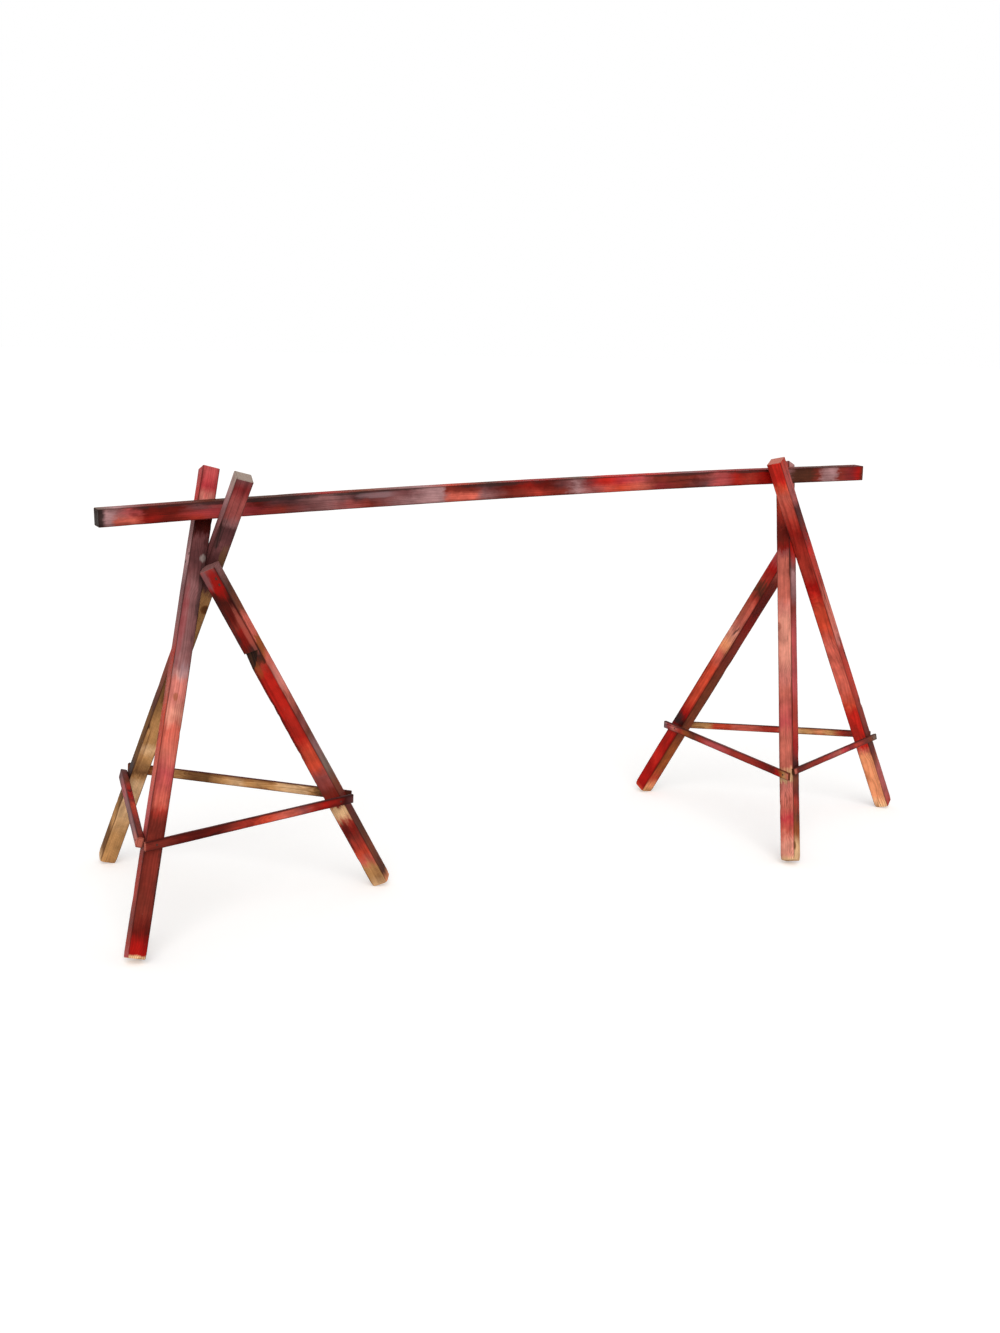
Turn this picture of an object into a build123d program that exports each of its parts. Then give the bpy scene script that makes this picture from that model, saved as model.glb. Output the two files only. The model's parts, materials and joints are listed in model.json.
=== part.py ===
from build123d import *
from dataclasses import dataclass
from math import cos, hypot, radians, sin
import os

# A trestle stand in raw battens. A long rail lies loose in the forks of two three-legged
# trestles. In each trestle two legs cross like scissors and are nailed face to face, a prop is
# nailed to the side of the crossing, and three thin laths tie the legs into a stiff triangle.
# Millimetres, +X along the rail, +Y to the back, +Z up from the floor. The origin lies on the
# floor under the middle of the whole stand.

# Timber
STOCK = 45.0            # square section of the rail, the legs and the props
ARRIS = 1.5             # rounding of the long edges
RAIL_LENGTH = 2400.0
RAIL_CROWN = 11.0       # the bowed rail stands this much higher in the middle
LATH_THICKNESS = 10.0
LATH_ARRIS = 0.8

# Shape of a trestle
CROSSING_HEIGHT = 910.0  # the middle of the legs' crossing
LEG_SPREAD = 21.1        # each leg from the fork's middle line, degrees
FORK_LEAN = 14.3         # the fork's plane from the vertical, towards the prop, degrees
FORK_LIP = 38.0          # the legs' ends above the rail's middle line, in the tighter fork
FOOT_WEAR = 2.0          # the lowest corner of each foot is worn off by this much
PROP_HEAD_INSET = 10.0   # the prop's middle line meets the inner leg this far in from the crossing
PROP_PAST_LEG = 15.0     # and the prop runs on this far to its sawn head
PROP_BED = 0.5           # how far the prop's head is let into the inner leg
LATH_BED = 1.5           # how far a nailed lath beds into a leg's edge

# Places of the trestles under the rail
LEFT_OVERHANG = 272.0    # from the left crossing to the rail's left end
RIGHT_OVERHANG = 270.0   # from the right crossing to the rail's right end
SEAT_GAP = 0.2           # between the rail and the forks that carry it

# A splinter is broken out of one edge of the left prop, widest at its end nearer the head
CHIP_FROM_HEAD = 245.0
CHIP_LENGTH = 58.0
CHIP_WIDTH = 43.0        # on the prop's front face
CHIP_DEPTH = 15.0        # on the face beside it

# Nails
NAIL_COVER = 8.0         # wood left beyond the point of a nail through two bars
LATH_NAIL_HOLD = 20.0    # how deep a lath's nail goes into the leg behind it

# How often a place is worked out again from the places that depend on it
PASSES = 8


@dataclass
class NailSizes:
    length: float
    shank: float
    head: float
    head_thickness: float
    proud: float = 0.4      # how far the head stands out of the wood


THROUGH_NAIL = NailSizes(
    length=2 * STOCK - NAIL_COVER, shank=3.8, head=8.0, head_thickness=1.8
)
LATH_NAIL = NailSizes(
    length=LATH_THICKNESS + LATH_NAIL_HOLD, shank=2.4, head=5.5, head_thickness=1.2
)
CROSSING_NAIL_PLACES = [(-8.0, 18.0), (8.0, -6.0)]  # across and up from the crossing's middle
PROP_NAIL_PLACES = [29.0, 47.0]                     # below the prop's head


@dataclass
class LathSizes:
    start_height: float     # the lath's middle line at its first leg
    end_height: float       # and at its second
    start_tail: float       # how far it runs on past the edge that it bears on there
    end_tail: float         # and at its second leg
    width: float
    thickness: float = LATH_THICKNESS


@dataclass
class TrestleSizes:
    name: str
    yaw: float              # from the rail's direction to the way the prop stands out, degrees
    prop_reach: float       # the prop's foot, out from under the crossing
    prop_side: float        # and sideways
    prop_drop: float        # the prop's head below the middle of the crossing
    prop_turn: float        # the prop's section, turned about its own length, degrees
    outer_rise: float       # the outer leg's end above the common height of the legs' ends
    inner_rise: float       # and the inner leg's
    front_lath: LathSizes   # outer leg to prop
    back_lath: LathSizes    # inner leg to prop
    end_lath: LathSizes     # outer leg to inner leg
    chipped: bool           # whether the prop has the chip


LEFT = TrestleSizes(
    name="left",
    yaw=-5.0,
    prop_reach=486.0,
    prop_side=-46.0,
    prop_drop=14.7,
    prop_turn=-30.0,
    outer_rise=0.0,
    inner_rise=0.0,
    front_lath=LathSizes(
        start_height=273.0, end_height=268.0, start_tail=54.0, end_tail=26.0, width=24.0
    ),
    back_lath=LathSizes(
        start_height=290.0, end_height=266.0, start_tail=45.0, end_tail=2.0, width=27.0
    ),
    end_lath=LathSizes(
        start_height=266.0, end_height=270.0, start_tail=47.0, end_tail=3.0,
        width=27.0, thickness=18.0
    ),
    chipped=True,
)
RIGHT = TrestleSizes(
    name="right",
    yaw=120.4,
    prop_reach=473.0,
    prop_side=-15.0,
    prop_drop=9.5,
    prop_turn=-23.0,
    outer_rise=12.0,
    inner_rise=-12.0,
    front_lath=LathSizes(
        start_height=251.0, end_height=241.0, start_tail=38.0, end_tail=11.0, width=22.0
    ),
    back_lath=LathSizes(
        start_height=251.0, end_height=245.0, start_tail=50.0, end_tail=15.0, width=23.0
    ),
    end_lath=LathSizes(
        start_height=244.0, end_height=254.0, start_tail=62.0, end_tail=4.0, width=19.0
    ),
    chipped=False,
)

UP = Vector(0, 0, 1)


# ---- Geometry of the timber, worked out before anything is modelled ----


@dataclass
class Bar:
    """A straight piece of timber: its first end, its direction and its section."""

    start: Vector
    direction: Vector
    side: Vector            # normal of one pair of faces
    length: float
    width: float            # measured along side
    depth: float            # measured along the other pair's normal
    arris: float

    @property
    def other_side(self):
        return self.direction.cross(self.side)

    @property
    def plane(self):
        return Plane(origin=self.start, x_dir=self.side, z_dir=self.direction)

    def at_height(self, height):
        """The point of the centre line at a height above the floor."""
        return self.start + self.direction * ((height - self.start.Z) / self.direction.Z)

    def at_length(self, distance):
        return self.start + self.direction * distance

    def reach(self, way):
        """How far the section reaches from the centre line in a direction."""
        along_width = way.dot(self.side)
        along_depth = way.dot(self.other_side)
        flat_width = self.width / 2 - self.arris
        flat_depth = self.depth / 2 - self.arris
        flat = flat_width * abs(along_width) + flat_depth * abs(along_depth)
        return flat + self.arris * hypot(along_width, along_depth)

    def far_corner(self, way):
        """The corner of the section that lies farthest in a direction, from the centre line."""
        along_width = facing(self.side, way) * (self.width / 2)
        along_depth = facing(self.other_side, way) * (self.depth / 2)
        return along_width + along_depth

    def skin_distance(self, way):
        """How far it is from the centre line to the surface, going square or slantwise."""
        to_side = self.width / 2 / max(abs(way.dot(self.side)), 1e-9)
        to_other = self.depth / 2 / max(abs(way.dot(self.other_side)), 1e-9)
        return min(to_side, to_other)

    def corners(self):
        ends = (self.start, self.at_length(self.length))
        sides = (self.side * (self.width / 2), self.side * (-self.width / 2))
        others = (self.other_side * (self.depth / 2), self.other_side * (-self.depth / 2))
        return [end + one + two for end in ends for one in sides for two in others]


def square_to(way, direction):
    """The part of a direction that is square to another, made a unit long."""
    return (way - direction * way.dot(direction)).normalized()


def facing(way, wanted):
    """A direction or its opposite, whichever points more the wanted way."""
    return way if way.dot(wanted) > 0 else way * -1


def common_normal(bar, other_direction, wanted):
    """The normal along which two crossing bars come nearest, pointing the wanted way."""
    return facing(bar.direction.cross(other_direction).normalized(), wanted)


def bearing(leg, lath, step, away):
    """How far along a lath, from the point that is a step from the leg's centre line, the
    lath's edge comes down on the leg's."""
    slant = leg.direction.dot(lath.direction)
    along_leg = (step + lath.far_corner(away * -1)).dot(leg.direction)
    along_lath = (step - leg.far_corner(away)).dot(lath.direction)
    return (slant * along_leg - along_lath) / (1 - slant ** 2)


def crossed_leg(crossing, fork_normal, fork_up, across, layer):
    """One leg of the fork, from its foot. Layer is -1 for the outer leg, 1 for the inner one."""
    spread = radians(LEG_SPREAD)
    direction = fork_up * cos(spread) - across * (layer * sin(spread))
    centre = crossing + fork_normal * (layer * STOCK / 2)
    leg = Bar(centre, direction, fork_normal, 0, STOCK, STOCK, ARRIS)
    leg.start = leg.at_height(leg.reach(UP) - FOOT_WEAR)
    return leg


def prop_bar(sizes, crossing, inward, across, inner_leg):
    """The prop, from its foot on the floor to its head against the inner leg."""
    floor_point = Vector(crossing.X, crossing.Y, 0)
    foot = floor_point + inward * sizes.prop_reach + across * sizes.prop_side
    head = crossing + inward * PROP_HEAD_INSET - UP * sizes.prop_drop
    leg_face = facing(inner_leg.other_side, across * -1)
    turn = radians(sizes.prop_turn)
    for _ in range(PASSES):
        direction = (head - foot).normalized()
        back = square_to(across, direction)
        side = back.cross(direction) * cos(turn) + back * sin(turn)
        prop = Bar(foot, direction, side, 0, STOCK, STOCK, ARRIS)
        wanted = inner_leg.reach(leg_face) + prop.reach(leg_face) - PROP_BED
        distance = (head - inner_leg.start).dot(leg_face)
        head = head + across * ((wanted - distance) / across.dot(leg_face))
    prop.start = prop.at_height(prop.reach(UP) - FOOT_WEAR)
    prop.length = (head - prop.start).length + PROP_PAST_LEG
    return prop


def lath_bar(sizes, first, second, outward):
    """A lath over two legs on their outward side, and the middles of its two joints."""
    legs = (first, second)
    heights = (sizes.start_height, sizes.end_height)
    offsets = [STOCK / 2, STOCK / 2]
    bearings = [0.0, 0.0]
    for _ in range(PASSES):
        points = [
            leg.at_height(height) + outward * offset
            for leg, height, offset in zip(legs, heights, offsets)
        ]
        direction = (points[1] - points[0]).normalized()
        flat = square_to(outward, direction)
        lath = Bar(points[0], direction, flat, 0, sizes.thickness, sizes.width, LATH_ARRIS)
        for place, leg in enumerate(legs):
            away = common_normal(leg, direction, outward)
            bearings[place] = bearing(leg, lath, outward * offsets[place], away)
            distance = leg.reach(away) + lath.reach(away) - LATH_BED
            offsets[place] = distance / outward.dot(away)
    before = sizes.start_tail - bearings[0]
    after = sizes.end_tail + bearings[1]
    lath.length = (points[1] - points[0]).length + before + after
    lath.start = points[0] - direction * before
    return lath, points


@dataclass
class Trestle:
    sizes: TrestleSizes
    inward: Vector
    across: Vector
    fork_up: Vector
    fork_normal: Vector
    crossing: Vector
    bars: dict
    nail_points: dict


def lay_out(sizes, floor_point):
    """Every bar of a trestle whose crossing stands above a point of the floor."""
    yaw = radians(sizes.yaw)
    lean = radians(FORK_LEAN)
    inward = Vector(cos(yaw), sin(yaw), 0)
    across = Vector(-sin(yaw), cos(yaw), 0)
    fork_normal = inward * cos(lean) - UP * sin(lean)
    fork_up = inward * sin(lean) + UP * cos(lean)
    crossing = floor_point + UP * CROSSING_HEIGHT
    outer = crossed_leg(crossing, fork_normal, fork_up, across, -1)
    inner = crossed_leg(crossing, fork_normal, fork_up, across, 1)
    prop = prop_bar(sizes, crossing, inward, across, inner)
    bars = {"outer_leg": outer, "inner_leg": inner, "prop": prop}
    nail_points = {}
    lath_plans = {
        "front_lath": (sizes.front_lath, outer, prop, across * -1),
        "back_lath": (sizes.back_lath, inner, prop, across),
        "end_lath": (sizes.end_lath, outer, inner, fork_normal * -1),
    }
    for name, plan in lath_plans.items():
        bars[name], nail_points[name] = lath_bar(*plan)
    return Trestle(
        sizes, inward, across, fork_up, fork_normal, crossing, bars, nail_points
    )


def rail_bar(direction):
    side = Vector(0, 1, 0)
    return Bar(Vector(0, 0, 0), direction, side, RAIL_LENGTH, STOCK, STOCK, ARRIS)


def seat_in_fork(trestle, slope):
    """Where the rail's centre line passes the crossing when both legs of the fork carry it:
    its Y and its height, for a rail that climbs by slope."""
    rail = rail_bar(Vector(1, 0, slope).normalized())
    rows = []
    for name, inside in (("outer_leg", trestle.across * -1), ("inner_leg", trestle.across)):
        leg = trestle.bars[name]
        lift = common_normal(leg, rail.direction, inside)
        distance = leg.reach(lift) + rail.reach(lift) + SEAT_GAP
        known = distance + leg.start.dot(lift) - trestle.crossing.X * lift.X
        rows.append((lift.Y, lift.Z, known))
    (y1, z1, known1), (y2, z2, known2) = rows
    scale = y1 * z2 - y2 * z1
    return (known1 * z2 - known2 * z1) / scale, (y1 * known2 - y2 * known1) / scale


def drop_at(x):
    """How far the bowed rail's centre line is below its middle, x along from the middle."""
    return 4 * RAIL_CROWN * (x / RAIL_LENGTH) ** 2


def bow_slope_at(x):
    return -8 * RAIL_CROWN * x / RAIL_LENGTH ** 2


@dataclass
class Layout:
    """How the rail lies in the two forks, from its middle over the origin."""

    slope: float
    middle_height: float
    left_place: Vector
    right_place: Vector
    leg_top: float          # common height of the legs' ends


def settle_rail():
    """Turns the rail and shifts the trestles until both forks carry it."""
    left_x = LEFT_OVERHANG - RAIL_LENGTH / 2
    right_x = RAIL_LENGTH / 2 - RIGHT_OVERHANG
    places = ((LEFT, left_x), (RIGHT, right_x))
    trestles = [lay_out(sizes, Vector(x, 0, 0)) for sizes, x in places]
    slope = 0.0
    for _ in range(PASSES):
        seats = []
        for trestle, (_, x) in zip(trestles, places):
            seats.append(seat_in_fork(trestle, slope + bow_slope_at(x)))
        (left_y, left_z), (right_y, right_z) = seats
        left_middle = left_z + drop_at(left_x)
        right_middle = right_z + drop_at(right_x)
        slope = (right_middle - left_middle) / (right_x - left_x)
    return Layout(
        slope=slope,
        middle_height=left_middle - slope * left_x,
        left_place=Vector(left_x, -left_y, 0),
        right_place=Vector(right_x, -right_y, 0),
        leg_top=max(left_z, right_z) + FORK_LIP,
    )


def cut_legs(trestle, height):
    """Ends the legs of the fork at a height, each by its own rise above or below it."""
    rises = {"outer_leg": trestle.sizes.outer_rise, "inner_leg": trestle.sizes.inner_rise}
    for name, rise in rises.items():
        leg = trestle.bars[name]
        leg.length = (height + rise - leg.start.Z) / leg.direction.Z


layout = settle_rail()
rail_direction = Vector(1, 0, layout.slope).normalized()


def place_trestles(shift):
    left = lay_out(LEFT, layout.left_place + shift)
    right = lay_out(RIGHT, layout.right_place + shift)
    cut_legs(left, layout.leg_top)
    cut_legs(right, layout.leg_top)
    return left, right


# The stand is moved so that the middle of its outline in plan is at the origin.
outline = [rail_direction * (RAIL_LENGTH / 2), rail_direction * (-RAIL_LENGTH / 2)]
for trestle in place_trestles(Vector(0, 0, 0)):
    for bar in trestle.bars.values():
        outline += bar.corners()
middle = Vector(
    (min(point.X for point in outline) + max(point.X for point in outline)) / 2,
    (min(point.Y for point in outline) + max(point.Y for point in outline)) / 2,
    0,
)
left_trestle, right_trestle = place_trestles(middle * -1)
rail_middle = Vector(0, 0, layout.middle_height) - middle


# ---- The pieces ----

os.makedirs("parts", exist_ok=True)


def save(part, name):
    part.label = name
    export_step(part, "parts/" + name + ".step")


def revolve_nail(surface_point, way, nail):
    """A nail driven into the wood at a point of its surface."""
    top = surface_point - way * nail.proud
    across_nail = square_to(Vector(0.31, 0.53, 0.79), way)
    profile_plane = Plane(origin=top, x_dir=across_nail, z_dir=across_nail.cross(way))
    point_length = 1.5 * nail.shank
    with BuildSketch(profile_plane) as profile:
        with BuildLine():
            Polyline(
                (0, 0),
                (nail.head / 2, 0),
                (nail.head / 2, nail.head_thickness),
                (nail.shank / 2, nail.head_thickness),
                (nail.shank / 2, nail.length - point_length),
                (0, nail.length),
                close=True,
            )
        make_face()
    revolve(profile.sketch, axis=Axis(top, way))


def build_trestle(trestle):
    name = trestle.sizes.name
    bars = trestle.bars
    outer_bar = bars["outer_leg"]
    inner_bar = bars["inner_leg"]
    prop = bars["prop"]

    with BuildPart() as crossing_nails:
        for sideways, upwards in CROSSING_NAIL_PLACES:
            centre = trestle.crossing + trestle.across * sideways + trestle.fork_up * upwards
            entry = centre - trestle.fork_normal * STOCK
            revolve_nail(entry, trestle.fork_normal, THROUGH_NAIL)
    save(crossing_nails.part, name + "_crossing_nails")

    with BuildPart() as prop_nails:
        for below_head in PROP_NAIL_PLACES:
            centre = prop.at_length(prop.length - below_head)
            entry = centre - trestle.across * prop.skin_distance(trestle.across)
            revolve_nail(entry, trestle.across, THROUGH_NAIL)
    save(prop_nails.part, name + "_prop_nails")

    with BuildPart() as lath_nails:
        for lath_name, points in trestle.nail_points.items():
            lath = bars[lath_name]
            for point in points:
                entry = point + lath.side * (lath.width / 2)
                revolve_nail(entry, lath.side * -1, LATH_NAIL)
    save(lath_nails.part, name + "_lath_nails")

    with BuildPart() as outer_leg:
        with BuildSketch(outer_bar.plane):
            RectangleRounded(STOCK, STOCK, ARRIS)
        extrude(amount=outer_bar.length)
        split(bisect_by=Plane.XY, keep=Keep.TOP)
        add(crossing_nails.part, mode=Mode.SUBTRACT)
        add(lath_nails.part, mode=Mode.SUBTRACT)
    save(outer_leg.part, name + "_outer_leg")

    with BuildPart() as inner_leg:
        with BuildSketch(inner_bar.plane):
            RectangleRounded(STOCK, STOCK, ARRIS)
        extrude(amount=inner_bar.length)
        split(bisect_by=Plane.XY, keep=Keep.TOP)
        add(crossing_nails.part, mode=Mode.SUBTRACT)
        add(prop_nails.part, mode=Mode.SUBTRACT)
        add(lath_nails.part, mode=Mode.SUBTRACT)
    save(inner_leg.part, name + "_inner_leg")

    with BuildPart() as prop_leg:
        with BuildSketch(prop.plane):
            RectangleRounded(STOCK, STOCK, ARRIS)
        extrude(amount=prop.length)
        split(bisect_by=Plane.XY, keep=Keep.TOP)
        if trestle.sizes.chipped:
            chip_way = prop.side * -CHIP_DEPTH - prop.other_side * CHIP_WIDTH
            chip_way = chip_way.normalized()
            chip_reach = prop.reach(chip_way)
            chip_depth = CHIP_DEPTH * CHIP_WIDTH / hypot(CHIP_DEPTH, CHIP_WIDTH)
            chip_plane = Plane(
                origin=prop.at_length(prop.length - CHIP_FROM_HEAD),
                x_dir=prop.direction * -1,
                z_dir=chip_way.cross(prop.direction),
            )
            with BuildSketch(chip_plane):
                with BuildLine():
                    Polyline(
                        (0, chip_reach + ARRIS),
                        (0, chip_reach - chip_depth),
                        (CHIP_LENGTH, chip_reach + ARRIS),
                        close=True,
                    )
                make_face()
            extrude(amount=STOCK, both=True, mode=Mode.SUBTRACT)
        add(outer_leg.part, mode=Mode.SUBTRACT)
        add(inner_leg.part, mode=Mode.SUBTRACT)
        add(prop_nails.part, mode=Mode.SUBTRACT)
        add(lath_nails.part, mode=Mode.SUBTRACT)
    save(prop_leg.part, name + "_prop")

    for lath_name in ("front_lath", "back_lath", "end_lath"):
        bar = bars[lath_name]
        with BuildPart() as lath:
            with BuildSketch(bar.plane):
                RectangleRounded(bar.width, bar.depth, bar.arris)
            extrude(amount=bar.length)
            add(outer_leg.part, mode=Mode.SUBTRACT)
            add(inner_leg.part, mode=Mode.SUBTRACT)
            add(prop_leg.part, mode=Mode.SUBTRACT)
            add(lath_nails.part, mode=Mode.SUBTRACT)
        save(lath.part, name + "_" + lath_name)


with BuildPart() as rail:
    half = RAIL_LENGTH / 2
    with BuildLine(Plane(origin=rail_middle, x_dir=rail_direction, z_dir=(0, -1, 0))) as bow:
        ThreePointArc((-half, -RAIL_CROWN), (0, 0), (half, -RAIL_CROWN))
    with BuildSketch(Plane(origin=bow.line @ 0, x_dir=(0, 1, 0), z_dir=bow.line % 0)):
        RectangleRounded(STOCK, STOCK, ARRIS)
    sweep()
save(rail.part, "rail")

build_trestle(left_trestle)
build_trestle(right_trestle)
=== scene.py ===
import json
import random
from dataclasses import dataclass, field
from math import ceil, cos, hypot, pi, sin

import bpy
import numpy as np
from mathutils import Matrix, Vector, noise


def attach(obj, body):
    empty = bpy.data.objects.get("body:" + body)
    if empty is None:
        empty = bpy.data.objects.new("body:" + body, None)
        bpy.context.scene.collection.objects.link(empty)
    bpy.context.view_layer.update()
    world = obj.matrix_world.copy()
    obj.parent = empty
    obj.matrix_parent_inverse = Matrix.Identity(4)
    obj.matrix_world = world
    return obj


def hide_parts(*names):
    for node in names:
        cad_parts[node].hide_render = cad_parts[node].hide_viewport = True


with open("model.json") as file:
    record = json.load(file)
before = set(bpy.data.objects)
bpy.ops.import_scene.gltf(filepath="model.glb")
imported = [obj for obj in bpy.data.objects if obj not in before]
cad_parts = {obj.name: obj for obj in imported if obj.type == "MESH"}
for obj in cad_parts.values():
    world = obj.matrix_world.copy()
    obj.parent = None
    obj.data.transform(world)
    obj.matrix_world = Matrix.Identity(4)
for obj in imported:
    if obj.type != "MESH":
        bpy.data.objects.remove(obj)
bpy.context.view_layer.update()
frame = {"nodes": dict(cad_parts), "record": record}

# A trestle stand of rough battens, partly sprayed and wiped with red paint. Every timber of
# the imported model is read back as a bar, and modelled again with worn edges, knocks and sawn
# ends. Metres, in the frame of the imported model.

# Camera
CAMERA_AT = Vector((-2.1766, -3.7698, 1.5769))
CAMERA_YAW = -0.4936
CAMERA_PITCH = 0.2296
CAMERA_ROLL = -0.0371
LENS_MM = 55.46

# Light
WORLD_STRENGTH = 0.62
KEY_STRENGTH = 1.35
KEY_FROM = Vector((-0.45, -1.0, 0.95))
KEY_SOFTNESS = 0.9           # angle of the key light, radians

# Timber
RING_STEP = 0.006            # between the rings of a timber's mesh
FLAT_POINTS = 5              # points across each long face, between its rounded edges
ARC_STEPS = 4
EDGE_RADIUS = 0.0018         # least rounding of a long edge
EDGE_WEAR = 0.0022           # how much more a worn stretch has
END_BEVEL = 0.0012
END_ROUGHNESS = 0.00025      # how far the sawn ends stand in and out
LONG_SWAY = 0.0006           # how far a whole section wanders from the centre line
EDGE_NIBBLES = 0.00045       # small bites out of the long edges
CAP_SCALES = (0.94, 0.78, 0.52, 0.26)
SURFACE_WAVE = 0.00035       # how far the sawn faces wave in and out
END_SKIN = 0.0009            # depth of the end grain's colour
HEAD_KEPT = 0.045            # this close to a sawn head the long edges are less worn
FOOT_WEAR = 0.0045           # how much a foot is rubbed away round its edge
FOOT_WEAR_REACH = 0.016      # and how far up
FOOT_HEIGHT = 0.03           # a bar that starts below this stands on the floor

# The splinter broken out of the left prop, as the model has it
CHIPPED = "left_prop"
CHIPPED_FINENESS = 3         # how much finer the mesh is round it
CHIP_FROM_HEAD = 0.245
CHIP_LENGTH = 0.058
CHIP_WIDTH = 0.043
CHIP_DEPTH = 0.015
CHIP_LEFT_ON = 0.0012        # the torn face stays this far outside the model's
CHIP_ROUGHNESS = 0.0011

# Grain
RING_BEND = 0.036            # how far the tree's middle wanders to and fro
FRAY_REACH = 0.07            # how far the edge of a paint band wanders along the bar
EDGE_DARKENING_WIDTH = 0.011           # how far in from an edge the darkening runs

# A colour ramp holds 32 stops, so the rail's front takes a second one from here on
SECOND_RAMP = (1.68, 1.74)
LOW_BAND_END = (1.84, 1.88)


# ---- Colours ----


def linear(red, green, blue):
    """A colour given as an artist reads it, 0 to 255, as Blender's linear values."""
    def channel(level):
        part = level / 255
        return part / 12.92 if part <= 0.04045 else ((part + 0.055) / 1.055) ** 2.4
    return channel(red), channel(green), channel(blue)


# Each has a colour and how far paint covers the wood: 0 is bare, 1 is covered.
PAINTS = {
    "blackened": (linear(48, 36, 34), 1.0),
    "dark brown": (linear(78, 42, 28), 0.8),
    "brown": (linear(119, 61, 39), 0.7),
    "olive": (linear(116, 82, 50), 0.2),
    "tan": (linear(193, 146, 97), 0.0),
    "pale tan": (linear(226, 187, 146), 0.0),
    "orange tan": (linear(238, 160, 116), 0.55),
    "amber": (linear(156, 84, 42), 0.5),
    "dark maroon": (linear(62, 12, 9), 1.0),
    "maroon": (linear(98, 24, 16), 1.0),
    "red brown": (linear(122, 46, 36), 0.9),
    "deep red": (linear(134, 26, 18), 1.0),
    "crimson": (linear(164, 20, 14), 1.0),
    "red": (linear(190, 38, 28), 1.0),
    "brick": (linear(166, 56, 44), 0.9),
    "orange red": (linear(202, 76, 52), 0.8),
    "coral": (linear(206, 104, 88), 0.9),
    "pink red": (linear(184, 82, 84), 0.9),
    "cherry": (linear(186, 62, 70), 0.9),
    "wine": (linear(128, 42, 44), 0.9),
    "dusty rose": (linear(160, 84, 82), 0.9),
    "rose": (linear(194, 108, 94), 0.8),
    "pale rose": (linear(232, 160, 142), 0.8),
    "faded pink": (linear(206, 128, 118), 0.9),
    "pink grey": (linear(194, 146, 142), 0.8),
    "plum": (linear(84, 50, 52), 0.9),
    "purple brown": (linear(112, 70, 72), 0.9),
    "mauve": (linear(138, 98, 100), 0.9),
    "lilac grey": (linear(174, 138, 142), 0.9),
    "grey": (linear(122, 106, 98), 0.5),
    "pale grey": (linear(168, 154, 148), 0.5),
}

# The faces of a bar are named by the way they look. Each has its paint along the bar, as
# (metres from the foot or the left end, paint).
BARE_INSIDE = [(0.0, "tan"), (0.2, "tan"), (0.35, "olive"), (0.5, "tan"), (0.8, "olive"), (1.2, "brown")]
PAINTED_BACK = [
    (0.0, "red brown"), (0.12, "brick"), (0.3, "maroon"), (0.42, "brick"), (0.6, "rose"),
    (0.75, "red"), (0.9, "deep red"), (1.0, "maroon"), (1.12, "pink red"), (1.25, "red"),
]


@dataclass
class Spot:
    """A stain, a bare patch, or a patch of painted shade, on one face."""

    way: str              # the face, by the way it looks
    along: float
    across: float         # from the face's middle, towards the right or upwards
    length: float         # half its length
    width: float          # and half its width
    paint: str
    strength: float = 0.7


@dataclass
class Look:
    slot: str
    faces: dict                   # the name of a face to its paint
    ends: tuple                   # paint of the first end and of the last
    pith: tuple                   # where the tree's middle was, across the section
    ring_gap: float = 0.0031      # between two of the tree's rings
    low_band: list = field(default_factory=list)  # paint of the front face's lower third
    spots: tuple = ()
    knocks: int = 7                # how many places on its edges are knocked off
    seed: int = 1                  # of its knocks and its noise
    gain: float = 1.0              # how much lighter it is than its paints


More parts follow.
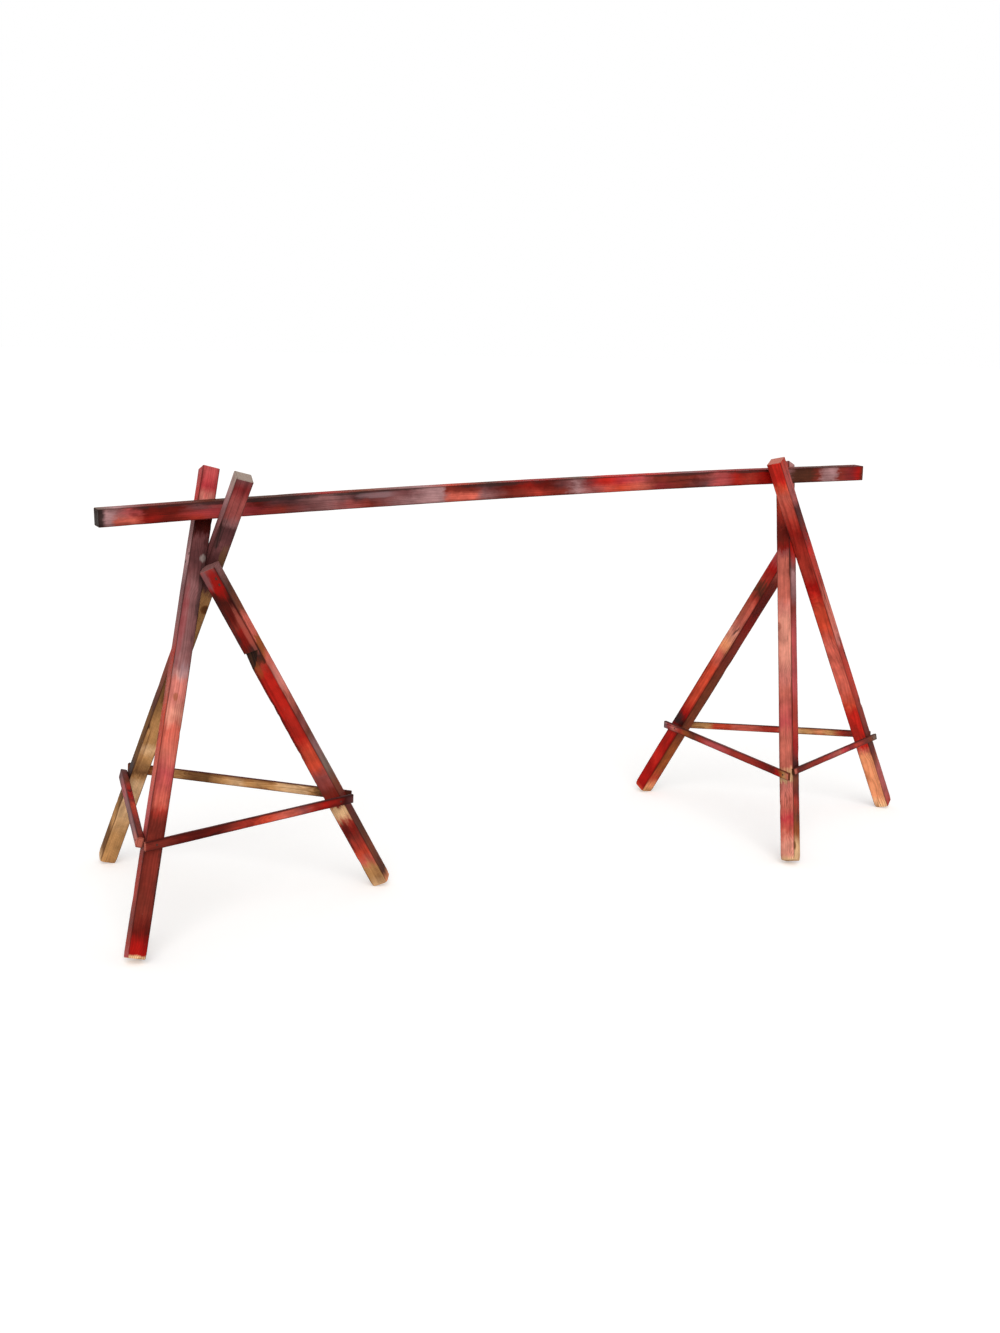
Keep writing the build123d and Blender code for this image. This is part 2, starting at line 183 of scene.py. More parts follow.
LOOKS = {
    "rail": Look(
        slot="rail_paint",
        faces={
            "front": [
                (0.009, "blackened"), (0.014, "lilac grey"), (0.033, "lilac grey"),
                (0.042, "mauve"), (0.085, "pink red"), (0.115, "maroon"), (0.2, "maroon"),
                (0.26, "purple brown"), (0.35, "pink red"), (0.4, "maroon"), (0.45, "plum"),
                (0.5, "plum"), (0.56, "mauve"), (0.62, "mauve"), (0.68, "plum"),
                (0.76, "purple brown"), (0.83, "purple brown"), (0.9, "lilac grey"),
                (0.93, "lilac grey"), (0.945, "red brown"), (1.03, "red brown"),
                (1.06, "purple brown"), (1.12, "maroon"), (1.2, "deep red"), (1.27, "maroon"),
                (1.33, "purple brown"), (1.355, "lilac grey"), (1.39, "wine"), (1.45, "red"),
                (1.52, "cherry"), (1.575, "pink red"), (1.62, "red brown"),
            ],
            "front right": [
                (1.66, "red brown"), (1.76, "red brown"), (1.82, "dusty rose"), (1.87, "pink red"),
                (1.91, "red"), (1.96, "brick"), (1.99, "deep red"), (2.04, "crimson"),
                (2.07, "red"), (2.1, "mauve"), (2.13, "dark brown"), (2.19, "dark brown"),
                (2.225, "red brown"), (2.245, "lilac grey"), (2.285, "lilac grey"),
                (2.305, "red brown"), (2.35, "wine"), (2.385, "crimson"), (2.395, "dark brown"),
            ],
            "top": [
                (0.0, "grey"), (0.05, "lilac grey"), (0.12, "red brown"), (0.3, "dark brown"),
                (0.5, "dark brown"), (0.6, "crimson"), (0.7, "brown"), (0.88, "lilac grey"),
                (0.97, "orange red"), (1.08, "dark brown"), (1.2, "crimson"), (1.3, "deep red"),
                (1.37, "grey"), (1.46, "red"), (1.62, "red"), (1.75, "mauve"), (1.9, "crimson"),
                (2.05, "deep red"), (2.2, "dark brown"), (2.4, "maroon"),
            ],
            "bottom": [
                (0.0, "pink red"), (0.2, "brick"), (0.4, "red"), (0.75, "crimson"), (0.95, "brown"),
                (1.2, "dark brown"), (1.5, "brick"), (1.8, "brown"), (2.1, "deep red"),
                (2.4, "brown"),
            ],
            "back": [
                (0.0, "purple brown"), (0.15, "brick"), (0.4, "maroon"), (0.7, "purple brown"),
                (0.9, "pink red"), (1.1, "brown"), (1.4, "brick"), (1.7, "red"), (1.95, "maroon"),
                (2.2, "tan"), (2.4, "brown"),
            ],
        },
        ends=("blackened", "dark brown"),
        pith=(0.010, -0.034),
        low_band=[
            (0.009, "blackened"), (0.014, "lilac grey"), (0.033, "lilac grey"), (0.042, "coral"),
            (0.085, "coral"), (0.115, "deep red"), (0.18, "maroon"), (0.25, "brick"),
            (0.33, "pink red"), (0.4, "wine"), (0.47, "red brown"), (0.54, "purple brown"),
            (0.6, "mauve"), (0.66, "dusty rose"), (0.72, "red brown"), (0.8, "mauve"),
            (0.9, "lilac grey"), (0.93, "lilac grey"), (0.95, "coral"), (1.03, "coral"),
            (1.06, "mauve"), (1.14, "red brown"), (1.24, "brick"), (1.32, "red brown"),
            (1.355, "lilac grey"), (1.41, "dusty rose"), (1.5, "orange red"), (1.58, "coral"),
            (1.63, "wine"), (1.72, "red brown"), (1.8, "purple brown"), (1.85, "pink red"),
        ],
        spots=(
            Spot("front", 0.42, 0.020, 0.38, 0.006, "blackened", 0.8),
            Spot("front", 1.12, 0.019, 0.11, 0.007, "blackened", 0.7),
            Spot("front", 1.70, 0.020, 0.12, 0.006, "blackened", 0.6),
            Spot("front", 0.30, -0.004, 0.09, 0.008, "cherry", 0.4),
            Spot("front", 0.75, 0.010, 0.06, 0.007, "lilac grey", 0.4),
            Spot("front", 1.96, 0.020, 0.12, 0.005, "blackened", 0.7),
            Spot("front", 2.07, 0.0, 0.028, 0.020, "dark maroon", 0.6),
            Spot("front", 2.16, 0.002, 0.06, 0.012, "dark brown", 0.6),
        ),
        knocks=12,
        seed=11,
    ),
    "left_outer_leg": Look(
        slot="leg_paint",
        faces={
            "front": [
                (0.0, "pale tan"), (0.007, "pale tan"), (0.0095, "crimson"), (0.035, "crimson"),
                (0.065, "maroon"), (0.11, "red brown"), (0.2, "red brown"), (0.31, "red brown"),
                (0.335, "red brown"), (0.355, "brick"), (0.38, "coral"), (0.45, "pink red"),
                (0.5, "rose"), (0.565, "coral"), (0.6, "pale rose"), (0.64, "faded pink"),
                (0.68, "faded pink"), (0.7, "pink grey"), (0.725, "mauve"), (0.8, "mauve"),
                (0.87, "mauve"), (0.93, "mauve"), (0.97, "purple brown"), (1.0, "plum"),
                (1.06, "purple brown"), (1.08, "dark maroon"), (1.12, "dark maroon"),
                (1.13, "mauve"), (1.16, "faded pink"), (1.195, "cherry"), (1.235, "pink red"),
                (1.25, "pink red"),
            ],
            "left": [
                (0.0, "pink red"), (0.035, "brick"), (0.08, "red brown"), (0.15, "brick"),
                (0.28, "red brown"), (0.35, "pink red"), (0.45, "coral"), (0.6, "orange red"),
                (0.66, "rose"), (0.75, "brick"), (0.85, "mauve"), (0.93, "purple brown"),
                (1.0, "lilac grey"), (1.06, "mauve"), (1.12, "purple brown"), (1.17, "red"),
                (1.25, "pink red"),
            ],
            "right": [
                (0.0, "maroon"), (0.2, "dark brown"), (0.45, "brick"), (0.7, "brown"),
                (0.9, "plum"), (1.1, "maroon"), (1.25, "brick"),
            ],
            "back": BARE_INSIDE,
        },
        ends=("pale tan", "red"),
        pith=(0.035, 0.030),
        spots=(
            Spot("front", 1.006, 0.012, 0.010, 0.007, "pale grey", 0.65),
            Spot("front", 0.715, 0.008, 0.035, 0.011, "lilac grey", 0.6),
            Spot("front", 0.83, -0.015, 0.11, 0.009, "cherry", 0.3),
            Spot("front", 0.93, 0.017, 0.08, 0.006, "blackened", 0.6),
            Spot("front", 0.2, 0.018, 0.09, 0.006, "blackened", 0.5),
            Spot("front", 0.645, -0.004, 0.010, 0.006, "amber", 0.6),
        ),
        seed=23,
    ),
    "left_inner_leg": Look(
        slot="leg_paint",
        faces={
            "front": [
                (0.0, "tan"), (0.03, "tan"), (0.1, "tan"), (0.2, "pale tan"), (0.29, "pale tan"),
                (0.31, "tan"), (0.325, "olive"), (0.38, "tan"), (0.405, "pale tan"), (0.43, "tan"),
                (0.5, "tan"), (0.57, "olive"), (0.7, "olive"), (0.9, "tan"), (0.93, "purple brown"),
                (0.97, "plum"), (1.03, "plum"), (1.055, "purple brown"), (1.08, "plum"),
                (1.11, "plum"), (1.125, "mauve"), (1.15, "dusty rose"), (1.185, "dusty rose"),
                (1.225, "wine"), (1.25, "purple brown"),
            ],
            "left": [
                (0.0, "pale tan"), (0.04, "olive"), (0.1, "olive"), (0.14, "tan"), (0.22, "olive"),
                (0.28, "dark brown"), (0.33, "blackened"), (0.37, "olive"), (0.5, "olive"),
                (0.54, "dark brown"),
                (0.62, "brown"), (0.75, "brick"), (0.85, "mauve"), (0.95, "plum"),
                (1.06, "purple brown"), (1.13, "mauve"), (1.19, "lilac grey"), (1.25, "pale grey"),
            ],
            "right": BARE_INSIDE,
            "back": PAINTED_BACK,
        },
        ends=("tan", "pale grey"),
        pith=(-0.016, 0.052),
        spots=(
            Spot("front", 1.02, 0.012, 0.05, 0.010, "olive", 0.6),
            Spot("front", 1.08, -0.014, 0.04, 0.007, "blackened", 0.6),
        ),
        seed=31,
    ),
    "left_prop": Look(
        slot="prop_paint",
        faces={
            "front": [
                (0.0, "pale tan"), (0.03, "tan"), (0.06, "tan"), (0.085, "coral"),
                (0.11, "orange red"), (0.14, "brick"), (0.165, "red brown"), (0.195, "deep red"),
                (0.215, "brick"), (0.24, "pale tan"), (0.265, "pale tan"), (0.275, "deep red"),
                (0.32, "red brown"), (0.37, "dusty rose"), (0.4, "orange red"),
                (0.45, "orange red"), (0.49, "red"), (0.57, "red"), (0.64, "red"), (0.7, "red"),
                # Dark brown and maroon from 0.735 m to 0.78 m are partly painted shade round the splinter.
                (0.722, "brick"), (0.735, "dark brown"), (0.78, "maroon"), (0.825, "deep red"),
                (0.845, "red brown"), (0.87, "maroon"), (0.92, "dark maroon"), (0.945, "maroon"),
                (0.96, "crimson"), (0.98, "deep red"), (1.0, "wine"), (1.015, "dusty rose"),
            ],
            "right": [
                (0.0, "orange tan"), (0.03, "dark brown"), (0.1, "brown"), (0.18, "dark brown"),
                (0.28, "maroon"), (0.33, "brown"), (0.39, "grey"), (0.46, "mauve"), (0.5, "brown"),
                (0.525, "dusty rose"), (0.555, "red brown"), (0.62, "rose"), (0.65, "faded pink"),
                (0.69, "faded pink"), (0.735, "coral"), (0.755, "amber"), (0.795, "amber"),
                (0.805, "coral"), (0.86, "coral"), (0.885, "brown"), (0.95, "dark brown"),
                (1.015, "mauve"),
            ],
            "left": [
                (0.0, "tan"), (0.2, "brown"), (0.45, "tan"), (0.7, "brown"), (0.85, "dark brown"),
                (1.0, "maroon"),
            ],
            "back": BARE_INSIDE,
        },
        ends=("pale tan", "mauve"),
        pith=(0.040, -0.022),
        spots=(
            # Blackened round the splinter's square end: painted shade of the chip.
            Spot("front", 0.768, 0.008, 0.022, 0.018, "blackened", 0.85),
            Spot("front", 0.725, -0.010, 0.03, 0.012, "amber", 0.5),
            Spot("front", 0.56, -0.019, 0.16, 0.006, "dark maroon", 0.8),
            Spot("front", 0.87, -0.018, 0.09, 0.007, "blackened", 0.7),
            Spot("front", 0.83, 0.013, 0.06, 0.008, "coral", 0.5),
            Spot("front", 0.975, 0.007, 0.045, 0.012, "crimson", 0.65),
            Spot("front", 0.99, -0.014, 0.030, 0.009, "mauve", 0.55),
            Spot("front", 0.19, -0.012, 0.03, 0.012, "dark maroon", 0.7),
        ),
        seed=47,
    ),
    "right_outer_leg": Look(
        slot="leg_paint",
        faces={
            "left": [
                (0.0, "pale tan"), (0.05, "orange tan"), (0.09, "orange tan"),
                (0.205, "orange tan"), (0.228, "coral"), (0.245, "red"), (0.28, "red"),
                (0.33, "red"), (0.37, "red"), (0.4, "orange red"), (0.47, "coral"),
                (0.545, "coral"), (0.63, "coral"), (0.69, "orange red"), (0.76, "orange red"),
                (0.81, "red"), (0.84, "crimson"), (0.88, "brick"), (0.93, "brick"),
                (1.03, "deep red"), (1.07, "brick"), (1.15, "coral"), (1.18, "orange red"),
                (1.2, "red"), (1.265, "red"),
            ],
            "front": [
                (0.0, "brick"), (0.05, "dusty rose"), (0.15, "dusty rose"), (0.19, "brown"),
                (0.21, "maroon"), (0.25, "dark brown"), (0.29, "maroon"), (0.33, "red brown"),
                (0.36, "red brown"), (0.45, "brick"), (0.56, "brick"), (0.605, "brick"),
                (0.635, "faded pink"), (0.7, "rose"), (0.78, "rose"), (0.805, "coral"),
                (0.84, "brick"), (0.87, "brick"), (0.92, "brick"), (0.96, "red"), (1.0, "deep red"),
                (1.04, "maroon"), (1.1, "dark maroon"), (1.13, "dusty rose"), (1.18, "dusty rose"),
                (1.265, "brick"),
            ],
            "right": BARE_INSIDE,
            "back": PAINTED_BACK,
        },
        ends=("pale tan", "faded pink"),
        pith=(0.050, 0.012),
        seed=61,
        gain=1.12,
    ),
    "right_inner_leg": Look(
        slot="leg_paint",
        faces={
            "left": [
                (0.0, "pale tan"), (0.015, "pale rose"), (0.05, "pale rose"), (0.085, "coral"),
                (0.12, "cherry"), (0.155, "rose"), (0.23, "faded pink"), (0.237, "pale tan"),
                (0.258, "pale tan"), (0.275, "rose"), (0.37, "rose"), (0.41, "pink red"),
                (0.5, "rose"), (0.55, "faded pink"), (0.61, "pale rose"), (0.73, "pale rose"),
                (0.77, "faded pink"), (0.8, "rose"), (0.92, "rose"), (0.94, "dusty rose"),
                (0.955, "deep red"), (0.98, "maroon"), (1.02, "maroon"), (1.055, "brick"),
                (1.11, "orange red"), (1.135, "coral"), (1.16, "brick"), (1.22, "brick"),
                (1.25, "mauve"),
            ],
            "front": [
                (0.0, "pale tan"), (0.045, "pale tan"), (0.085, "amber"), (0.13, "brown"),
                (0.17, "brick"), (0.2, "maroon"), (0.24, "brown"), (0.27, "dark maroon"),
                (0.29, "dark maroon"), (0.315, "deep red"), (0.35, "crimson"), (0.4, "brick"),
                (0.45, "brick"), (0.52, "pink red"), (0.62, "pink red"), (0.7, "pink red"),
                (0.77, "red brown"), (0.81, "mauve"), (0.88, "lilac grey"), (0.89, "mauve"),
                (0.955, "red"), (1.02, "red"), (1.09, "red"), (1.15, "dusty rose"),
                (1.18, "faded pink"), (1.25, "lilac grey"),
            ],
            "right": PAINTED_BACK,
            "back": BARE_INSIDE,
        },
        ends=("pale tan", "mauve"),
        pith=(-0.042, -0.026),
        seed=67,
    ),
    "right_prop": Look(
        slot="prop_paint",
        faces={
            "left": [
                (0.0, "orange red"), (0.015, "crimson"), (0.09, "crimson"), (0.12, "red"),
                (0.2, "crimson"), (0.25, "red"), (0.276, "dark maroon"), (0.29, "dark maroon"),
                (0.32, "crimson"), (0.38, "orange red"), (0.44, "orange red"), (0.5, "orange red"),
                (0.555, "coral"), (0.59, "orange tan"), (0.64, "pale rose"), (0.68, "rose"),
                (0.73, "coral"), (0.775, "brick"), (0.805, "dark brown"), (0.835, "brick"),
                (0.89, "crimson"), (0.93, "pink red"), (0.97, "coral"), (1.015, "red"),
            ],
            "front": [
                (0.0, "tan"), (0.025, "orange tan"), (0.055, "orange red"), (0.1, "amber"),
                (0.17, "amber"), (0.25, "brown"), (0.36, "brown"), (0.45, "brown"),
                (0.56, "red brown"), (0.62, "red brown"), (0.69, "deep red"), (0.74, "maroon"),
                (0.8, "maroon"), (0.85, "red brown"),
                (0.9, "rose"), (0.95, "brick"), (1.0, "brick"),
            ],
            "right": [
                (0.0, "olive"), (0.3, "tan"), (0.5, "brown"), (0.75, "tan"), (1.0, "red brown"),
            ],
            "back": PAINTED_BACK,
        },
        ends=("pale tan", "brick"),
        pith=(0.028, 0.044),
        spots=(
            Spot("left", 0.825, 0.0, 0.018, 0.018, "dark brown", 0.8),
            Spot("left", 0.73, 0.014, 0.10, 0.009, "brown", 0.5),
            Spot("left", 0.29, 0.006, 0.022, 0.016, "blackened", 0.7),
        ),
        seed=71,
    ),
    "left_front_lath": Look(
        slot="lath_paint",
        faces={
            "front": [
                (0.0, "red brown"), (0.06, "red brown"), (0.1, "maroon"), (0.21, "maroon"),
                (0.245, "red brown"), (0.275, "brick"), (0.31, "brick"), (0.355, "orange red"),
                (0.41, "coral"), (0.45, "coral"), (0.475, "dusty rose"), (0.51, "brick"),
                (0.545, "crimson"), (0.575, "deep red"), (0.61, "dark maroon"), (0.643, "plum"),
            ],
            "top": [
                (0.0, "red brown"), (0.1, "maroon"), (0.25, "maroon"), (0.35, "red brown"),
                (0.5, "purple brown"), (0.643, "dark maroon"),
            ],
            "back": [(0.0, "tan"), (0.3, "olive"), (0.643, "tan")],
            "bottom": [(0.0, "maroon"), (0.3, "brick"), (0.643, "maroon")],
        },
        ends=("rose", "blackened"),
        pith=(0.02, 0.004),
        ring_gap=0.0022,
        knocks=3,
        seed=83,
    ),
    "left_back_lath": Look(
        slot="lath_paint",
        faces={
            "front": [
                (0.0, "brown"), (0.04, "amber"), (0.12, "tan"), (0.19, "olive"), (0.235, "olive"),
                (0.275, "tan"), (0.32, "pale tan"), (0.345, "tan"), (0.37, "tan"), (0.42, "tan"),
                (0.46, "pale tan"), (0.51, "pale tan"), (0.53, "tan"), (0.55, "olive"),
                (0.57, "red brown"), (0.638, "dark brown"),
            ],
            "top": [
                (0.0, "dark brown"), (0.1, "red brown"), (0.2, "maroon"), (0.3, "red brown"),
                (0.4, "maroon"), (0.638, "maroon"),
            ],
            "back": [(0.0, "brick"), (0.2, "deep red"), (0.4, "brick"), (0.638, "maroon")],
            "bottom": [(0.0, "brown"), (0.4, "olive"), (0.638, "brown")],
        },
        ends=("dark brown", "dark maroon"),
        pith=(-0.02, 0.01),
        ring_gap=0.0024,
        knocks=3,
        seed=89,
    ),
    "left_end_lath": Look(
        slot="lath_paint",
        faces={
            "top": [
                (0.0, "maroon"), (0.04, "red brown"), (0.1, "red brown"), (0.17, "brick"),
                (0.24, "orange red"), (0.28, "brick"), (0.31, "crimson"), (0.37, "crimson"),
                (0.42, "brick"), (0.46, "brown"), (0.5, "red brown"), (0.562, "plum"),
            ],
            "left": [
                (0.0, "rose"), (0.08, "mauve"), (0.2, "mauve"), (0.3, "mauve"), (0.42, "pink red"),
                (0.5, "purple brown"), (0.562, "plum"),
            ],
            "right": [(0.0, "maroon"), (0.3, "dark brown"), (0.562, "maroon")],
            "bottom": [(0.0, "brown"), (0.562, "olive")],
        },
        ends=("rose", "plum"),
        pith=(0.0, 0.03),
        ring_gap=0.0024,
        knocks=4,
        seed=97,
    ),
    "right_front_lath": Look(
        slot="lath_paint",
        faces={
            "front": [
                (0.0, "maroon"), (0.04, "brown"), (0.07, "tan"), (0.11, "tan"),
                (0.135, "orange red"), (0.17, "orange red"), (0.19, "coral"), (0.225, "coral"),
                (0.26, "coral"), (0.3, "brick"), (0.34, "brick"), (0.385, "pale tan"),
                (0.43, "tan"), (0.47, "orange tan"), (0.51, "tan"), (0.545, "brick"),
                (0.6, "coral"), (0.638, "maroon"),
            ],
            "top": [(0.0, "dark maroon"), (0.2, "dark brown"), (0.4, "maroon"), (0.638, "maroon")],
            "back": [(0.0, "brown"), (0.3, "tan"), (0.638, "tan")],
            "bottom": [(0.0, "brown"), (0.3, "pale tan"), (0.638, "brown")],
        },
        ends=("dark maroon", "brown"),
        pith=(0.018, -0.006),
        ring_gap=0.0022,
        knocks=3,
        seed=101,
    ),
    "right_back_lath": Look(
        slot="lath_paint",
        faces={
            "left": [
                (0.0, "rose"), (0.022, "tan"), (0.034, "amber"), (0.046, "crimson"),
                (0.06, "crimson"), (0.07, "maroon"), (0.12, "deep red"), (0.2, "brick"),
                (0.27, "brick"), (0.33, "pink red"), (0.41, "pink red"), (0.45, "brick"),
                (0.49, "brown"), (0.53, "amber"), (0.57, "brick"), (0.6, "faded pink"),
                (0.63, "cherry"), (0.645, "lilac grey"), (0.656, "plum"),
            ],
            "top": [(0.0, "brown"), (0.15, "red brown"), (0.35, "mauve"), (0.5, "brown"), (0.656, "plum")],
            "right": [(0.0, "tan"), (0.656, "olive")],
            "bottom": [(0.0, "dark brown"), (0.656, "dark brown")],
        },
        ends=("brown", "plum"),
        pith=(0.0, -0.025),
        ring_gap=0.0022,
        knocks=3,
        seed=103,
    ),
    "right_end_lath": Look(
        slot="lath_paint",
        faces={
            "front": [
                (0.0, "rose"), (0.012, "rose"), (0.018, "red brown"), (0.03, "maroon"),
                (0.09, "red brown"), (0.15, "brick"), (0.21, "brick"), (0.25, "pink red"),
                (0.31, "rose"), (0.345, "cherry"), (0.39, "wine"), (0.43, "brick"), (0.47, "brick"),
                (0.51, "red brown"), (0.55, "brown"), (0.58, "grey"), (0.593, "blackened"),
            ],
            "top": [(0.0, "dark brown"), (0.2, "maroon"), (0.4, "deep red"), (0.593, "dark brown")],
            "back": [(0.0, "tan"), (0.593, "olive")],
            "bottom": [(0.0, "dark brown"), (0.593, "maroon")],
        },
        ends=("dark brown", "blackened"),
        pith=(0.012, 0.018),
        ring_gap=0.0022,
        knocks=3,
        seed=107,
    ),
}

FACE_WAYS = {
    "front": Vector((0, -1, 0)),
    "back": Vector((0, 1, 0)),
    "left": Vector((-1, 0, 0)),
    "right": Vector((1, 0, 0)),
    "top": Vector((0, 0, 1)),
    "bottom": Vector((0, 0, -1)),
}


# ---- Bars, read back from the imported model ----


@dataclass
class Bar:
    name: str
    start: Vector         # middle of the first end
    along: Vector
    side: Vector          # normal of one pair of faces
    other: Vector         # and of the other
    length: float
    width: float          # across, measured along side
    depth: float          # measured along other
    crown: float = 0.0    # how far the middle bows out along other

    @property
    def half_width(self):
        return self.width / 2

    @property
    def half_depth(self):
        return self.depth / 2

    @property
    def least(self):
        return min(self.half_width, self.half_depth)

    def at(self, distance):
        """The centre line's point at a distance from the first end."""
        part = distance / self.length
        bow = 4 * self.crown * part * (1 - part)
        return self.start + self.along * distance + self.other * bow

    def face_name(self, normal):
        return max(FACE_WAYS, key=lambda name: FACE_WAYS[name].dot(normal))


def face_normals(mesh):
    """Each face's normal, turned to one side of the room, with the areas that share it."""
    areas = {}
    for face in mesh.polygons:
        normal = face.normal if sum(face.normal) > 0 else -face.normal
        key = tuple(round(part, 2) for part in normal)
        total, area = areas.get(key, (Vector(), 0.0))
        areas[key] = (total + normal * face.area, area + face.area)
    ranked = sorted(areas.values(), key=lambda pair: pair[1], reverse=True)
    return [total.normalized() for total, _ in ranked]


def end_middle(points, along, side, other, last):
    """The middle of a bar's first or last end."""
    distances = points @ np.array(along)
    edge = distances.max() if last else distances.min()
    end = points[np.abs(distances - edge) < 0.002]
    middle = along * float(edge)
    for way in (side, other):
        across = end @ np.array(way)
        middle += way * float((across.max() + across.min()) / 2)
    return middle


def read_bar(node):
    """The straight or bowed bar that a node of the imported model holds."""
    mesh = frame["nodes"][node].data
    points = np.empty(len(mesh.vertices) * 3)
    mesh.vertices.foreach_get("co", points)
    points = points.reshape(-1, 3)
    normals = face_normals(mesh)
    side = normals[0]
    other = next(normal for normal in normals if abs(normal.dot(side)) < 0.05)
    along = side.cross(other).normalized()
    lying = abs(along.z) < 0.5
    lead = along.z if not lying else (along.x if abs(along.x) > abs(along.y) else along.y)
    if lead < 0:
        along = -along
    other = along.cross(side).normalized()
    first = end_middle(points, along, side, other, last=False)
    last = end_middle(points, along, side, other, last=True)
    along = (last - first).normalized()
    other = along.cross(side).normalized()
    offsets = points - np.array(first)
    width = float(np.ptp(offsets @ np.array(side)))
    reach = offsets @ np.array(other)
    near_start = np.abs(offsets @ np.array(along)) < 0.002
    depth = float(np.ptp(reach[near_start]))
    bar = Bar(node, first, along, side, other, (last - first).length, width, depth)
    if node == "rail":
        above = float(reach.max()) - depth / 2
        below = -float(reach.min()) - depth / 2
        bar.crown = above if above > below else -below
    return bar


# ---- Timber, modelled again from a bar ----


def smooth_step(value):
    value = min(max(value, 0.0), 1.0)
    return value * value * (3 - 2 * value)


def wander(seed, *place):
    """Smooth noise, -1 to 1, that differs from bar to bar."""
    point = Vector(place + (0.0,) * (3 - len(place)))
    return noise.noise(point + Vector((seed * 1.37, seed * 0.71, seed * 2.11)))


@dataclass
class Knock:
    """A place where a long edge is knocked off or worn away."""

    corner: int
    middle: float
    reach: float
    depth: float

    def radius(self, distance):
        return self.depth * smooth_step(1 - abs(distance - self.middle) / self.reach)


def draw_knocks(bar, look):
    draw = random.Random(look.seed)
    knocks = []
    most = min(bar.width, bar.depth) * 0.11
    for _ in range(look.knocks):
        knocks.append(Knock(
            corner=draw.randrange(4),
            middle=draw.uniform(0.02, bar.length - 0.02),
            reach=draw.uniform(0.008, 0.035),
            depth=draw.uniform(0.35, 1.0) * most,
        ))
    return knocks


def section(half_width, half_depth, radii, flat_points):
    """A rounded outline: (across, up, normal across, normal up) for each of its points."""
    corners = ((1, 1), (-1, 1), (-1, -1), (1, -1))
    outline = []
    for index, (sign_a, sign_b) in enumerate(corners):
        radius = radii[index]
        centre_a = sign_a * (half_width - radius)
        centre_b = sign_b * (half_depth - radius)
        for step in range(ARC_STEPS + 1):
            angle = (index + step / ARC_STEPS) * pi / 2
            outline.append((
                centre_a + radius * cos(angle), centre_b + radius * sin(angle),
                cos(angle), sin(angle),
            ))
        sign_next = corners[(index + 1) % 4]
        radius_next = radii[(index + 1) % 4]
        next_a = sign_next[0] * (half_width - radius_next)
        next_b = sign_next[1] * (half_depth - radius_next)
        turn = (index + 1) * pi / 2
        normal_a, normal_b = cos(turn), sin(turn)
        from_a = centre_a + radius * normal_a
        from_b = centre_b + radius * normal_b
        to_a = next_a + radius_next * normal_a
        to_b = next_b + radius_next * normal_b
        for step in range(1, flat_points + 1):
            part = step / (flat_points + 1)
            outline.append((
                from_a + (to_a - from_a) * part, from_b + (to_b - from_b) * part,
                normal_a, normal_b,
            ))
    return outline


def stations(bar, extra):
    """Where along the bar its rings lie."""
    count = ceil((bar.length - 2 * END_BEVEL) / RING_STEP)
    span = bar.length - 2 * END_BEVEL
    places = [END_BEVEL + span * index / count for index in range(count + 1)]
    return sorted(set(places + extra))


def chip_places(bar):
    """Rings on both sides of the splinter's steep end."""
    steep = bar.length - CHIP_FROM_HEAD
    return [steep - 0.0015, steep - 0.0003, steep + 0.0003, steep + 0.0015]


@dataclass
class Chip:
    """A splinter torn off a long edge: square at its upper end, and run out lower down."""

    side_part: float      # the way out to the edge, across the section
    other_part: float
    reach: float          # how far the whole edge lies that way
    steep: float          # where along the bar its square end is
    seed: int

    def limit(self, distance):
        back = self.steep - distance
        if back < 0 or back > CHIP_LENGTH:
            return self.reach
        depth = CHIP_DEPTH * CHIP_WIDTH / hypot(CHIP_DEPTH, CHIP_WIDTH)
        torn = CHIP_ROUGHNESS * wander(self.seed, distance * 210, distance * 40)
        return self.reach - (depth - CHIP_LEFT_ON) * (1 - back / CHIP_LENGTH) + torn

    def cut(self, distance, a, b):
        """A point of the section, moved onto the torn face if it lies beyond it."""
        over = a * self.side_part + b * self.other_part - self.limit(distance)
        over = max(over, 0.0)
        return a - self.side_part * over, b - self.other_part * over


def chip_of(bar, look):
    """The left prop's splinter, on its front left edge."""
    front = -1 if bar.other.y > 0 else 1
    left = -1 if bar.side.x > 0 else 1
    flat = hypot(CHIP_DEPTH, CHIP_WIDTH)
    side_part = left * CHIP_DEPTH / flat
    other_part = front * CHIP_WIDTH / flat
    reach = abs(side_part) * bar.width / 2 + abs(other_part) * bar.depth / 2
    return Chip(side_part, other_part, reach, bar.length - CHIP_FROM_HEAD, look.seed)


def edge_radii(bar, look, knocks, distance):
    """How far each of the four long edges is rounded at a place along the bar."""
    wear = min(EDGE_WEAR, bar.least * 0.18)
    radius_base = min(EDGE_RADIUS, bar.least * 0.22)
    radii = []
    for corner in range(4):
        worn = 0.5 + 0.5 * wander(look.seed + corner * 7, distance * 5.5)
        worn *= 0.3 + 0.7 * smooth_step((bar.length - distance) / HEAD_KEPT)
        radius = radius_base + wear * worn * worn * 1.6
        radius += sum(k.radius(distance) for k in knocks if k.corner == corner)
        if bar.start.z < FOOT_HEIGHT:
            rub = 1 - smooth_step(distance / FOOT_WEAR_REACH)
            radius += FOOT_WEAR * rub * (0.6 + worn)
        radii.append(min(radius, bar.least * 0.8))
    return radii


def surface_wave(look, distance, a, b, normal_a, normal_b):
    """How far a point of the section stands out of its true place."""
    wave = SURFACE_WAVE * wander(look.seed, distance * 14, a * 60, b * 60)
    if min(abs(normal_a), abs(normal_b)) > 0.01:
        wave -= EDGE_NIBBLES * abs(wander(look.seed + 9, distance * 130, normal_a * 2))
    return wave - 0.0001


